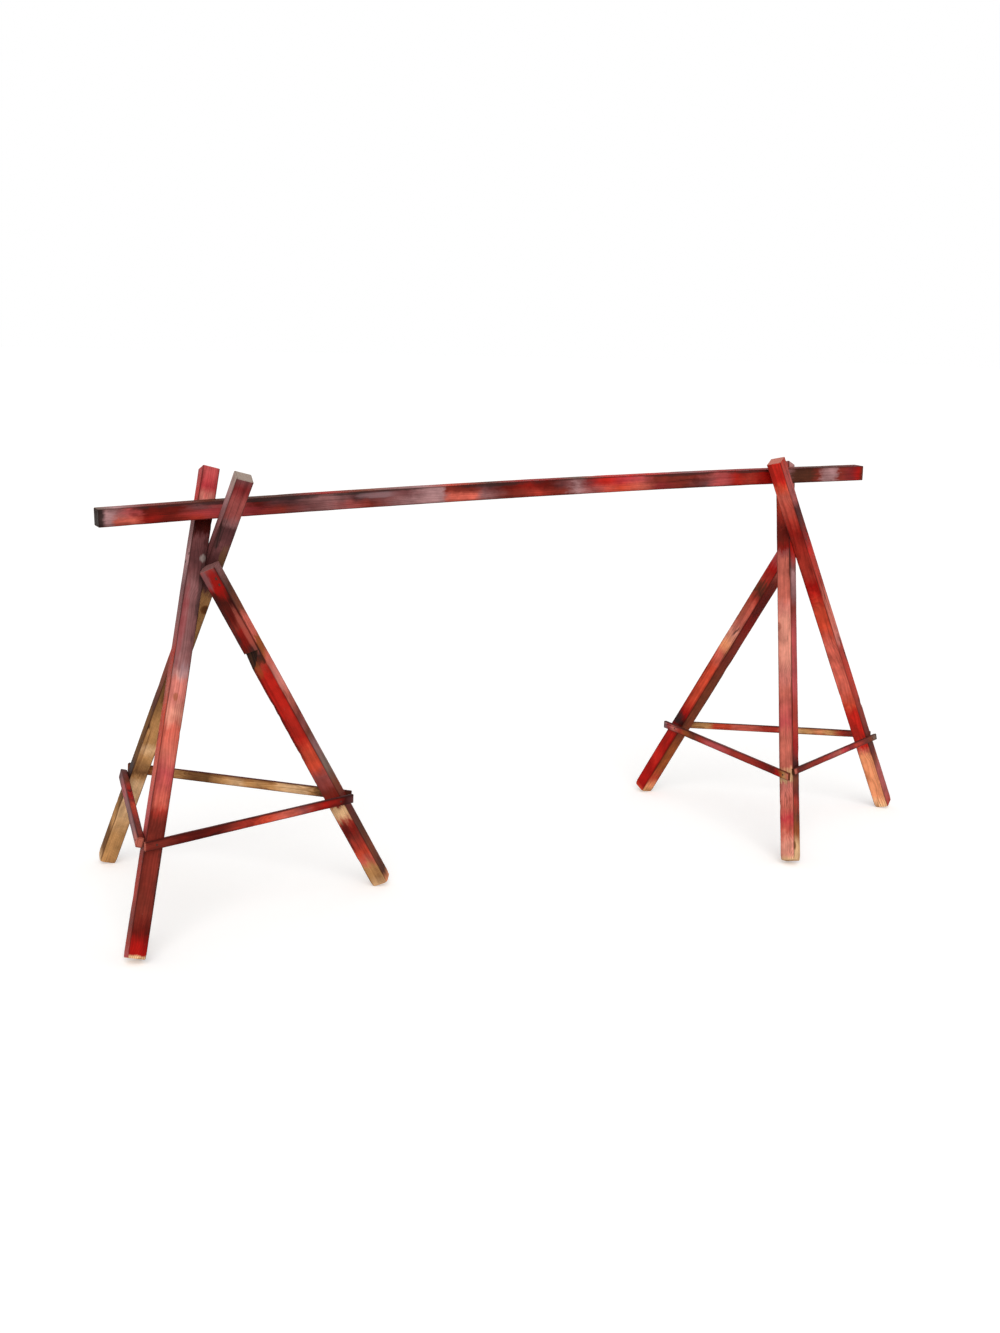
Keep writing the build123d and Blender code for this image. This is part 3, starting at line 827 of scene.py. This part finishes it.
class Timber:
    """A bar as rough timber, gathered ring by ring: waving faces, worn and knocked edges."""

    def __init__(self, bar, look):
        self.bar = bar
        self.look = look
        self.knocks = draw_knocks(bar, look)
        self.chip = chip_of(bar, look) if bar.name == CHIPPED else None
        self.flat_points = FLAT_POINTS * (CHIPPED_FINENESS if self.chip else 1)
        self.points = []
        self.rings = []
        self.places = []      # each point's distance along the bar, and its place across
        self.shapes = []      # the section's normal there, and how far an edge is

    def middle_point(self, distance):
        self.points.append(self.bar.at(distance))
        self.places.append((distance, 0.0, 0.0))
        self.shapes.append((1.0, 0.0, self.bar.least))
        return len(self.points) - 1

    def ring(self, distance, inset, cap_scale=1.0):
        bar, look = self.bar, self.look
        swell = LONG_SWAY * wander(look.seed + 3, distance * 1.8)
        sway = LONG_SWAY * wander(look.seed + 5, distance * 1.8)
        radii = edge_radii(bar, look, self.knocks, distance)
        outline = section(bar.half_width - inset, bar.half_depth - inset, radii, self.flat_points)
        indices = []
        for true_a, true_b, normal_a, normal_b in outline:
            wave = surface_wave(look, distance, true_a, true_b, normal_a, normal_b)
            a = true_a + normal_a * wave
            b = true_b + normal_b * wave
            if self.chip:
                a, b = self.chip.cut(distance, a, b)
            a *= cap_scale
            b *= cap_scale
            point = bar.at(distance)
            if cap_scale < 1:
                rough = END_ROUGHNESS * wander(look.seed + 13, a * 300, b * 300)
                point = point + bar.along * rough
            point += bar.side * (a + swell) + bar.other * (b + sway)
            point.z = max(point.z, 0.0)
            indices.append(len(self.points))
            self.points.append(point)
            edge_a = bar.half_width - abs(true_a * cap_scale)
            edge_b = bar.half_depth - abs(true_b * cap_scale)
            edge = min(edge_a, edge_b) if cap_scale < 1 else max(edge_a, edge_b)
            self.places.append((distance, true_a * cap_scale, true_b * cap_scale))
            self.shapes.append((normal_a, normal_b, max(edge, 0.0)))
        self.rings.append(indices)

    def faces(self, first_middle, last_middle):
        """A fan over each end, and a band between each two rings."""
        rings = self.rings
        around = len(rings[0])
        faces = []
        for index in range(around):
            following = (index + 1) % around
            faces.append((first_middle, rings[0][following], rings[0][index]))
            faces.append((last_middle, rings[-1][index], rings[-1][following]))
        for near, far in zip(rings, rings[1:]):
            for index in range(around):
                following = (index + 1) % around
                faces.append((near[index], near[following], far[following], far[index]))
        return faces


def add_point_vectors(mesh, name, vectors):
    attribute = mesh.attributes.new(name, "FLOAT_VECTOR", "POINT")
    attribute.data.foreach_set("vector", np.array(vectors, np.float32).ravel())


def build_timber(bar, look):
    """The timber's object, from its first sawn end to its last."""
    timber = Timber(bar, look)
    first_middle = timber.middle_point(0.0)
    for scale in reversed(CAP_SCALES):
        timber.ring(0.0, END_BEVEL, scale)
    timber.ring(0.0, END_BEVEL)
    for distance in stations(bar, chip_places(bar) if timber.chip else []):
        timber.ring(distance, 0.0)
    timber.ring(bar.length, END_BEVEL)
    for scale in CAP_SCALES:
        timber.ring(bar.length, END_BEVEL, scale)
    last_middle = timber.middle_point(bar.length)

    mesh = bpy.data.meshes.new(bar.name + "_timber")
    mesh.from_pydata(timber.points, [], timber.faces(first_middle, last_middle))
    add_point_vectors(mesh, "bar_place", timber.places)
    add_point_vectors(mesh, "bar_shape", timber.shapes)
    mesh.polygons.foreach_set("use_smooth", [True] * len(mesh.polygons))
    mesh.set_sharp_from_angle(angle=0.7)
    mesh.update()
    built = bpy.data.objects.new(bar.name + "_timber", mesh)
    bpy.context.scene.collection.objects.link(built)
    return built


# ---- Materials ----


class Graph:
    """A node material, built one node at a time."""

    def __init__(self, name):
        self.material = bpy.data.materials.new(name)
        self.material.use_nodes = True
        self.tree = self.material.node_tree
        self.tree.nodes.clear()
        self.output = self.tree.nodes.new("ShaderNodeOutputMaterial")
        self.shader = self.tree.nodes.new("ShaderNodeBsdfPrincipled")
        self.tree.links.new(self.shader.outputs["BSDF"], self.output.inputs["Surface"])

    def put(self, socket, value):
        """Links a socket to another, or sets it to a plain value."""
        if isinstance(value, bpy.types.NodeSocket):
            self.tree.links.new(value, socket)
        else:
            socket.default_value = value

    def node(self, kind, **settings):
        node = self.tree.nodes.new(kind)
        for name, value in settings.items():
            setattr(node, name, value)
        return node

    def math(self, operation, *values):
        node = self.node("ShaderNodeMath", operation=operation)
        for socket, value in zip(node.inputs, values):
            self.put(socket, value)
        return node.outputs[0]

    def vector(self, operation, *values):
        node = self.node("ShaderNodeVectorMath", operation=operation)
        for socket, value in zip(node.inputs, values):
            self.put(socket, value)
        return node.outputs["Vector"]

    def scale(self, vector, amount):
        node = self.node("ShaderNodeVectorMath", operation="SCALE")
        self.put(node.inputs[0], vector)
        self.put(node.inputs["Scale"], amount)
        return node.outputs["Vector"]

    def bump(self, height, strength, distance):
        node = self.node("ShaderNodeBump")
        node.inputs["Strength"].default_value = strength
        node.inputs["Distance"].default_value = distance
        self.put(node.inputs["Height"], height)
        return node.outputs["Normal"]

    def spread(self, value, low, high, to_low=0.0, to_high=1.0, kind="SMOOTHSTEP"):
        """Maps the range low to high onto another, and keeps within it."""
        node = self.node("ShaderNodeMapRange", interpolation_type=kind)
        for index, entry in enumerate((value, low, high, to_low, to_high)):
            self.put(node.inputs[index], entry)
        return node.outputs[0]

    def attribute(self, name):
        node = self.node("ShaderNodeAttribute", attribute_name=name)
        return node.outputs["Vector"]

    def split(self, vector):
        node = self.node("ShaderNodeSeparateXYZ")
        self.put(node.inputs[0], vector)
        return node.outputs

    def join(self, *parts):
        node = self.node("ShaderNodeCombineXYZ")
        for socket, value in zip(node.inputs, parts):
            self.put(socket, value)
        return node.outputs[0]

    def noise(self, vector, detail=3.0, roughness=0.55, distortion=0.0):
        node = self.node("ShaderNodeTexNoise")
        self.put(node.inputs["Vector"], vector)
        node.inputs["Scale"].default_value = 1.0
        node.inputs["Detail"].default_value = detail
        node.inputs["Roughness"].default_value = roughness
        node.inputs["Distortion"].default_value = distortion
        return node.outputs["Fac"]

    def cells(self, vector, feature="F1"):
        node = self.node("ShaderNodeTexVoronoi", feature=feature)
        self.put(node.inputs["Vector"], vector)
        node.inputs["Scale"].default_value = 1.0
        return node.outputs["Distance"]

    def blend(self, amount, first, second, mode="MIX"):
        node = self.node("ShaderNodeMix", data_type="RGBA", blend_type=mode)
        self.put(node.inputs[0], amount)
        for socket, value in ((node.inputs[6], first), (node.inputs[7], second)):
            if isinstance(value, tuple):
                value = value + (1.0,) * (4 - len(value))
            self.put(socket, value)
        return node.outputs[2]

    def blend_value(self, amount, first, second):
        node = self.node("ShaderNodeMix", data_type="FLOAT")
        self.put(node.inputs[0], amount)
        self.put(node.inputs[2], first)
        self.put(node.inputs[3], second)
        return node.outputs[0]

    def paint_along(self, distance, length, bands):
        """Colour and cover of the paint bands along a face."""
        node = self.node("ShaderNodeValToRGB")
        self.put(node.inputs[0], self.math("DIVIDE", distance, length))
        elements = node.color_ramp.elements
        while len(elements) < len(bands):
            elements.new(0.5)
        for element, (place, _) in zip(elements, bands):
            element.position = min(place / length, 1.0)
        for element, (_, paint) in zip(elements, bands):
            colour, cover = PAINTS[paint]
            element.color = (*colour, cover)
        return node.outputs["Color"], node.outputs["Alpha"]


class TimberPaint:
    """The material of one timber: wood under patches of thin paint, and its end grain."""

    def __init__(self, bar, look):
        self.bar = bar
        self.look = look
        self.g = Graph(bar.name + "_timber")
        self.place = self.g.attribute("bar_place")
        self.along, self.across, self.up = self.g.split(self.place)
        shape = self.g.split(self.g.attribute("bar_shape"))
        self.normal_across, self.normal_up, self.edge = shape
        self.own = (look.seed * 0.37, look.seed * 1.91, look.seed * 0.83)
        self.fibres = self.field(9, 900, 2.2, detail=4.0, roughness=0.6)
        self.streaks = self.field(4.5, 170, 5.9, detail=4.0)
        self.mottle = self.field(22, 30, 9.4, detail=5.0, roughness=0.62)
        self.clouds = self.field(9, 12, 4.6, detail=3.0)
        self.grow_rings()
        self.crack = self.drying_cracks()

    def stretched(self, long_scale, cross_scale, shift=0.0):
        """The place in the bar, scaled along and across, and moved on from bar to bar."""
        scales = (long_scale, cross_scale, cross_scale)
        scaled = self.g.vector("MULTIPLY", self.place, scales)
        return self.g.vector("ADD", scaled, tuple(part + shift for part in self.own))

    def field(self, long_scale, cross_scale, shift=0.0, **settings):
        return self.g.noise(self.stretched(long_scale, cross_scale, shift), **settings)

    def grow_rings(self):
        """The tree's rings: how far its middle is, bent along the bar and round the knots."""
        g, look = self.g, self.look
        bend_a = g.math("MULTIPLY_ADD", self.field(1.9, 4, 3.1), RING_BEND, -RING_BEND / 2)
        bend_b = g.math("MULTIPLY_ADD", self.field(1.9, 4, 7.7), RING_BEND, -RING_BEND / 2)
        knot_distance = g.cells(self.stretched(9.0, 11.0))
        self.knot = g.spread(knot_distance, 0.075, 0.115, 1.0, 0.0)
        self.knot_ring = g.spread(knot_distance, 0.1, 0.15, 1.0, 0.0)
        round_knot = g.spread(knot_distance, 0.08, 0.42, 1.0, 0.0)
        self.from_a = g.math("ADD", g.math("SUBTRACT", self.across, look.pith[0]), bend_a)
        self.from_b = g.math("ADD", g.math("SUBTRACT", self.up, look.pith[1]), bend_b)
        squared_a = g.math("MULTIPLY", self.from_a, self.from_a)
        squared_b = g.math("MULTIPLY", self.from_b, self.from_b)
        radius = g.math("SQRT", g.math("ADD", squared_a, squared_b))
        self.radius = g.math("MULTIPLY_ADD", round_knot, 0.007, radius)
        rough_ring = g.math("MULTIPLY_ADD", self.field(7, 90, 1.3), 0.0013, self.radius)
        phase = g.math("FRACT", g.math("DIVIDE", rough_ring, look.ring_gap))
        rise = g.spread(phase, 0.25, 0.86)
        self.late = g.math("MULTIPLY", rise, g.spread(phase, 0.9, 1.0, 1.0, 0.0))

    def drying_cracks(self):
        """Long cracks, only here and there."""
        g = self.g
        waver = g.join(0.0, g.math("MULTIPLY", self.streaks, 0.6), 0.0)
        crack_place = g.vector("ADD", self.stretched(1.6, 38.0), waver)
        line = g.spread(g.cells(crack_place, "DISTANCE_TO_EDGE"), 0.006, 0.022, 1.0, 0.0)
        return g.math("MULTIPLY", line, g.spread(self.field(3.2, 18, 6.3), 0.56, 0.62))

    def frayed_along(self):
        """The distance along the bar, frayed by noise but not at the ends."""
        g = self.g
        fray = self.field(26, 75, 12.5, detail=5.0, roughness=0.68)
        fray = g.math("MULTIPLY_ADD", fray, FRAY_REACH, -FRAY_REACH / 2)
        from_last = g.math("SUBTRACT", self.bar.length, self.along)
        to_end = g.math("MINIMUM", self.along, from_last)
        fray = g.math("MULTIPLY", fray, g.spread(to_end, 0.0, 0.07, 0.05, 1.0, "LINEAR"))
        return g.math("ADD", self.along, fray)

    def rail_front(self, frayed, front):
        """The rail's front: a second ramp past the middle, and other paint low down."""
        g, bar, look = self.g, self.bar, self.look
        second = g.paint_along(frayed, bar.length, look.faces["front right"])
        past = g.spread(self.along, *SECOND_RAMP)
        upper = g.blend(past, front[0], second[0])
        lower = g.paint_along(frayed, bar.length, look.low_band)
        down = g.math("MULTIPLY", self.up, -1.0 if bar.other.z > 0 else 1.0)
        low = g.spread(g.math("MULTIPLY_ADD", self.mottle, 0.02, down), 0.0, 0.021)
        low = g.math("MULTIPLY", low, g.spread(self.along, *LOW_BAND_END, 1.0, 0.0))
        return g.blend(low, upper, lower[0]), front[1]

    def face_paint(self, frayed, normal):
        name = self.bar.face_name(normal)
        painted = self.g.paint_along(frayed, self.bar.length, self.look.faces[name])
        if self.bar.name == "rail" and name == "front":
            painted = self.rail_front(frayed, painted)
        return painted

    def pair_paint(self, frayed, normal, sign_of):
        """Colour and cover of two opposite faces."""
        g = self.g
        plus = self.face_paint(frayed, normal)
        minus = self.face_paint(frayed, -normal)
        chosen = g.math("GREATER_THAN", sign_of, 0.0)
        colour = g.blend(chosen, minus[0], plus[0])
        return colour, g.blend_value(chosen, minus[1], plus[1])

    def paint_of_faces(self):
        """Colour and cover of the paint all round, run together at the edges."""
        g = self.g
        frayed = self.frayed_along()
        side_colour, side_cover = self.pair_paint(frayed, self.bar.side, self.normal_across)
        other_colour, other_cover = self.pair_paint(frayed, self.bar.other, self.normal_up)
        size_up = g.math("ABSOLUTE", self.normal_up)
        lean = g.math("SUBTRACT", size_up, g.math("ABSOLUTE", self.normal_across))
        lean = g.math("ADD", lean, g.math("MULTIPLY_ADD", self.mottle, 1.2, -0.6))
        turned = g.spread(lean, -0.12, 0.12)
        paint = g.blend(turned, side_colour, other_colour)
        return paint, g.blend_value(turned, side_cover, other_cover)

    def grained(self, paint, cover):
        """The band's colour with the wood's grain, which shows less through paint."""
        g = self.g
        wood = g.blend(self.late, (1.26, 1.25, 1.2), (0.86, 0.74, 0.62))
        fibrous = g.spread(self.fibres, 0.3, 0.75)
        wood = g.blend(fibrous, wood, (0.86, 0.82, 0.76), "MULTIPLY")
        knot_ring = g.math("MULTIPLY", self.knot_ring, 0.8)
        wood = g.blend(knot_ring, wood, (0.42, 0.27, 0.16), "MULTIPLY")
        wood = g.blend(g.math("MULTIPLY", self.knot, 0.7), wood, (0.4, 0.34, 0.3), "MULTIPLY")
        film = g.blend(g.math("MULTIPLY", self.late, 0.7), (1.14, 1.0, 0.96), (0.9, 0.74, 0.7))
        knot_ring = g.math("MULTIPLY", self.knot_ring, 0.5)
        film = g.blend(knot_ring, film, (0.6, 0.5, 0.46), "MULTIPLY")
        return g.blend(1.0, paint, g.blend(cover, wood, film), "MULTIPLY")

    def uneven(self, tone):
        """Paint that is thick and thin, wiped along the grain and browner in clouds."""
        g = self.g
        shade = g.spread(self.mottle, 0.3, 0.72, 0.7, 1.24, "LINEAR")
        wiped = g.spread(self.streaks, 0.3, 0.7, 0.84, 1.14, "LINEAR")
        level = g.math("MULTIPLY", shade, g.math("MULTIPLY", wiped, self.look.gain))
        tone = g.scale(tone, level)
        brown = g.math("MULTIPLY", g.spread(self.clouds, 0.52, 0.68), 0.22)
        return g.blend(brown, tone, linear(86, 42, 30))

    def weathered(self, tone):
        """Scuffs, cracks, dark runs, and a darkening towards the edges."""
        g = self.g
        scuff_field = self.field(60, 260, 8.8, detail=5.0, roughness=0.7)
        scuffed = g.spread(scuff_field, 0.63, 0.72)
        scuffed = g.math("MULTIPLY", scuffed, g.spread(self.clouds, 0.4, 0.6))
        tone = g.blend(g.math("MULTIPLY", scuffed, 0.2), tone, linear(196, 150, 138))
        tone = g.blend(g.math("MULTIPLY", self.crack, 0.8), tone, linear(34, 20, 16))
        runs = g.spread(self.field(2.4, 62, 14.2), 0.52, 0.68)
        tone = g.blend(g.math("MULTIPLY", runs, 0.42), tone, (0.42, 0.3, 0.3), "MULTIPLY")
        # Darker towards the edges, in broad patches that change along the bar.
        darkening_reach = g.math("MULTIPLY_ADD", self.mottle, 0.014, -0.007)
        darkening_reach = g.math("ADD", self.edge, darkening_reach)
        edge_darkening = g.spread(darkening_reach, 0.0, EDGE_DARKENING_WIDTH, 1.0, 0.0)
        edge_darkening = g.math("MULTIPLY", edge_darkening, g.spread(self.field(3.1, 6, 16.3), 0.4, 0.6))
        return g.blend(g.math("MULTIPLY", edge_darkening, 0.7), tone, (0.5, 0.38, 0.36), "MULTIPLY")

    def spot_mask(self, spot):
        """Where a spot lies, with an edge that the mottle and the streaks break up."""
        g, bar = self.g, self.bar
        way = FACE_WAYS[spot.way]
        if abs(bar.side.dot(way)) > abs(bar.other.dot(way)):
            normal, facing, flat_way, flat = bar.side, self.normal_across, bar.other, self.up
        else:
            normal, facing, flat_way, flat = bar.other, self.normal_up, bar.side, self.across
        turn = 1.0 if flat_way.x + flat_way.z > 0 else -1.0
        faces = 1.0 if normal.dot(way) > 0 else -1.0
        u = g.math("MULTIPLY_ADD", self.along, 1 / spot.length, -spot.along / spot.length)
        v = g.math("MULTIPLY_ADD", flat, turn / spot.width, -spot.across / spot.width)
        away = g.math("MULTIPLY_ADD", u, u, g.math("MULTIPLY", v, v))
        ragged = g.math("ADD", self.mottle, self.streaks)
        away = g.math("ADD", away, g.math("MULTIPLY_ADD", ragged, 3.2, -3.2))
        here = g.math("GREATER_THAN", g.math("MULTIPLY", facing, faces), 0.5)
        return g.math("MULTIPLY", g.spread(away, 0.0, 1.7, spot.strength, 0.0), here)

    def splintered_with_shade(self, tone):
        """The torn face where the splinter has gone, painted dark: broken wood with painted shade of the
        recess.
        """
        g = self.g
        chip = chip_of(self.bar, self.look)
        depth = CHIP_DEPTH * CHIP_WIDTH / hypot(CHIP_DEPTH, CHIP_WIDTH)
        back = g.math("SUBTRACT", chip.steep, self.along)
        out_up = g.math("MULTIPLY", self.up, chip.other_part)
        out = g.math("MULTIPLY_ADD", self.across, chip.side_part, out_up)
        limit = g.math("MULTIPLY_ADD", back, depth / CHIP_LENGTH, chip.reach - depth)
        over = g.math("SUBTRACT", out, limit)
        over = g.math("MULTIPLY_ADD", g.math("SUBTRACT", self.streaks, 0.5), 0.003, over)
        below_steep = g.spread(back, -0.0003, -0.00028)
        broken = g.math("MULTIPLY", g.spread(over, 0.0, 0.0007), below_steep)
        streaky = g.spread(self.streaks, 0.35, 0.65)
        # These near-black browns stand for broken wood together with painted shade inside the recess.
        torn = g.blend(streaky, linear(66, 40, 26), linear(30, 18, 16))
        return g.blend(broken, tone, torn)

    def dark_edges_soil_and_shade(self, tone):
        g = self.g
        # A thin dark line along every edge: partly soil, partly painted shade where the rounded edges turn
        # from the light.
        frayed_edge = g.math("MULTIPLY_ADD", self.mottle, -0.004, self.edge)
        edge_soil_and_shade = g.spread(frayed_edge, -0.0016, 0.0018, 1.0, 0.0)
        return g.blend(g.math("MULTIPLY", edge_soil_and_shade, 0.72), tone, linear(52, 22, 20))

    def sawn_ends(self, tone):
        """The rings and drying splits of the end grain, under each end's paint."""
        g = self.g
        rings_seen = g.blend(self.late, (1.12, 1.1, 1.04), (0.62, 0.5, 0.4))
        spoke_angle = g.math("MULTIPLY", g.math("ARCTAN2", self.from_b, self.from_a), 26.0)
        spokes = g.noise(g.join(spoke_angle, g.math("MULTIPLY", self.radius, 18.0), 0.0))
        split_mark = g.spread(spokes, 0.66, 0.72)
        rim_edge = g.math("MULTIPLY_ADD", self.mottle, -0.004, self.edge)
        rim = g.spread(rim_edge, 0.0, 0.0022, 1.0, 0.0)
        depths = (self.along, g.math("SUBTRACT", self.bar.length, self.along))
        for depth, paint_name in zip(depths, self.look.ends):
            sawn = g.blend(1.0, PAINTS[paint_name][0], rings_seen, "MULTIPLY")
            sawn = g.blend(g.math("MULTIPLY", split_mark, 0.75), sawn, linear(46, 28, 20))
            sawn = g.blend(g.math("MULTIPLY", rim, 0.55), sawn, linear(60, 34, 26))
            tone = g.blend(g.spread(depth, END_SKIN * 0.5, END_SKIN, 1.0, 0.0), tone, sawn)
        return tone

    def relief(self):
        g = self.g
        height = g.math("MULTIPLY_ADD", self.late, 0.35, g.math("MULTIPLY", self.fibres, 0.5))
        height = g.math("MULTIPLY_ADD", self.mottle, 0.35, height)
        height = g.math("MULTIPLY_ADD", self.crack, -1.6, height)
        height = g.math("MULTIPLY_ADD", self.knot_ring, -0.3, height)
        return g.bump(height, strength=0.55, distance=0.0006)


def timber_material(bar, look):
    painted = TimberPaint(bar, look)
    g = painted.g
    paint, cover = painted.paint_of_faces()
    tone = painted.grained(paint, cover)
    tone = painted.uneven(tone)
    tone = painted.weathered(tone)
    for spot in look.spots:
        tone = g.blend(painted.spot_mask(spot), tone, PAINTS[spot.paint][0])
    if bar.name == CHIPPED:
        tone = painted.splintered_with_shade(tone)
    tone = painted.dark_edges_soil_and_shade(tone)
    tone = painted.sawn_ends(tone)
    gloss = g.blend_value(cover, 0.86, 0.55)
    gloss = g.math("ADD", gloss, g.math("MULTIPLY_ADD", painted.mottle, 0.3, -0.15))
    g.put(g.shader.inputs["Base Color"], tone)
    g.put(g.shader.inputs["Roughness"], gloss)
    g.put(g.shader.inputs["Normal"], painted.relief())
    g.shader.inputs["Specular IOR Level"].default_value = 0.06
    return g.material


def nail_material():
    """Old bright steel, browned with rust."""
    g = Graph("rusty_nail")
    where = g.node("ShaderNodeTexCoord").outputs["Object"]
    patches = g.noise(g.vector("MULTIPLY", where, (420, 420, 420)), detail=5.0, roughness=0.7)
    pits = g.noise(g.vector("MULTIPLY", where, (2600, 2600, 2600)), detail=3.0)
    rust = g.spread(patches, 0.38, 0.6)
    orange = g.blend(pits, linear(92, 48, 28), linear(52, 30, 22))
    g.put(g.shader.inputs["Base Color"], g.blend(rust, linear(70, 46, 42), orange))
    g.put(g.shader.inputs["Metallic"], g.math("SUBTRACT", 1.0, g.math("MULTIPLY", rust, 0.85)))
    g.put(g.shader.inputs["Roughness"], g.spread(rust, 0.0, 1.0, 0.42, 0.85))
    g.put(g.shader.inputs["Normal"], g.bump(pits, strength=0.5, distance=0.0002))
    return g.material


# ---- Stage ----


def make_camera():
    data = bpy.data.cameras.new("camera")
    data.sensor_fit = "HORIZONTAL"
    data.sensor_width = 36
    data.lens = LENS_MM
    camera = bpy.data.objects.new("camera", data)
    bpy.context.scene.collection.objects.link(camera)
    level = cos(CAMERA_PITCH)
    forward = Vector((-sin(CAMERA_YAW) * level, cos(CAMERA_YAW) * level, -sin(CAMERA_PITCH)))
    right = Vector((cos(CAMERA_YAW), sin(CAMERA_YAW), 0))
    down = forward.cross(right)
    cos_roll, sin_roll = cos(CAMERA_ROLL), sin(CAMERA_ROLL)
    rolled_right = right * cos_roll + down * sin_roll
    rolled_down = down * cos_roll - right * sin_roll
    placed = Matrix((rolled_right, -rolled_down, -forward)).transposed().to_4x4()
    placed.translation = CAMERA_AT
    camera.matrix_world = placed
    bpy.context.scene.camera = camera


def link_math(tree, operation, first, second):
    node = tree.nodes.new("ShaderNodeMath")
    node.operation = operation
    tree.links.new(first, node.inputs[0])
    tree.links.new(second, node.inputs[1])
    return node.outputs[0]


def seen_directly(tree):
    """1 where the camera sees a surface straight, or in a gloss or through glass."""
    path = tree.nodes.new("ShaderNodeLightPath").outputs
    seen = link_math(tree, "MAXIMUM", path["Is Camera Ray"], path["Is Glossy Ray"])
    return link_math(tree, "MAXIMUM", seen, path["Is Transmission Ray"])


def make_world():
    """Soft light all round, that the camera sees as plain white."""
    world = bpy.data.worlds.new("world")
    bpy.context.scene.world = world
    world.use_nodes = True
    tree = world.node_tree
    tree.nodes.clear()
    output = tree.nodes.new("ShaderNodeOutputWorld")
    lit = tree.nodes.new("ShaderNodeBackground")
    lit.inputs["Color"].default_value = (1.0, 0.995, 0.985, 1.0)
    lit.inputs["Strength"].default_value = WORLD_STRENGTH
    shown = tree.nodes.new("ShaderNodeBackground")
    shown.inputs["Color"].default_value = (1.0, 1.0, 1.0, 1.0)
    shown.inputs["Strength"].default_value = 1.0
    mix = tree.nodes.new("ShaderNodeMixShader")
    tree.links.new(seen_directly(tree), mix.inputs["Fac"])
    tree.links.new(lit.outputs[0], mix.inputs[1])
    tree.links.new(shown.outputs[0], mix.inputs[2])
    tree.links.new(mix.outputs[0], output.inputs["Surface"])


def make_floor():
    """A white floor that runs into the white background and still takes a soft shadow."""
    mesh = bpy.data.meshes.new("floor")
    size = 40.0
    corners = [(-size, -size, 0), (size, -size, 0), (size, size, 0), (-size, size, 0)]
    mesh.from_pydata(corners, [], [(0, 1, 2, 3)])
    floor = bpy.data.objects.new("floor", mesh)
    bpy.context.scene.collection.objects.link(floor)
    g = Graph("floor")
    g.shader.inputs["Base Color"].default_value = (0.86, 0.86, 0.86, 1)
    g.shader.inputs["Roughness"].default_value = 1.0
    g.shader.inputs["Specular IOR Level"].default_value = 0.0
    g.shader.inputs["Emission Color"].default_value = (1, 1, 1, 1)
    g.put(g.shader.inputs["Emission Strength"], g.math("MULTIPLY", seen_directly(g.tree), 0.3))
    mesh.materials.append(g.material)


def make_key_light():
    light = bpy.data.lights.new("key", "SUN")
    light.energy = KEY_STRENGTH
    light.angle = KEY_SOFTNESS
    light.color = (1.0, 0.985, 0.96)
    key = bpy.data.objects.new("key", light)
    bpy.context.scene.collection.objects.link(key)
    key.rotation_euler = KEY_FROM.to_track_quat("Z", "Y").to_euler()


# ---- The scene ----

make_camera()
make_world()
make_floor()
make_key_light()
bpy.context.scene.view_settings.view_transform = "Standard"

bodies = frame["record"]["behaviour"]["bodies"]
body_of = {node: body for body, members in bodies.items() for node in members}

for node, look in LOOKS.items():
    bar = read_bar(node)
    timber = build_timber(bar, look)
    timber.data.materials.append(timber_material(bar, look))
    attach(timber, body_of[node])
    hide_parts(node)

nail_paint = nail_material()
for node, cad_object in frame["nodes"].items():
    if node.endswith("_nails"):
        cad_object.data.materials.clear()
        cad_object.data.materials.append(nail_paint)

bpy.context.view_layer.update()
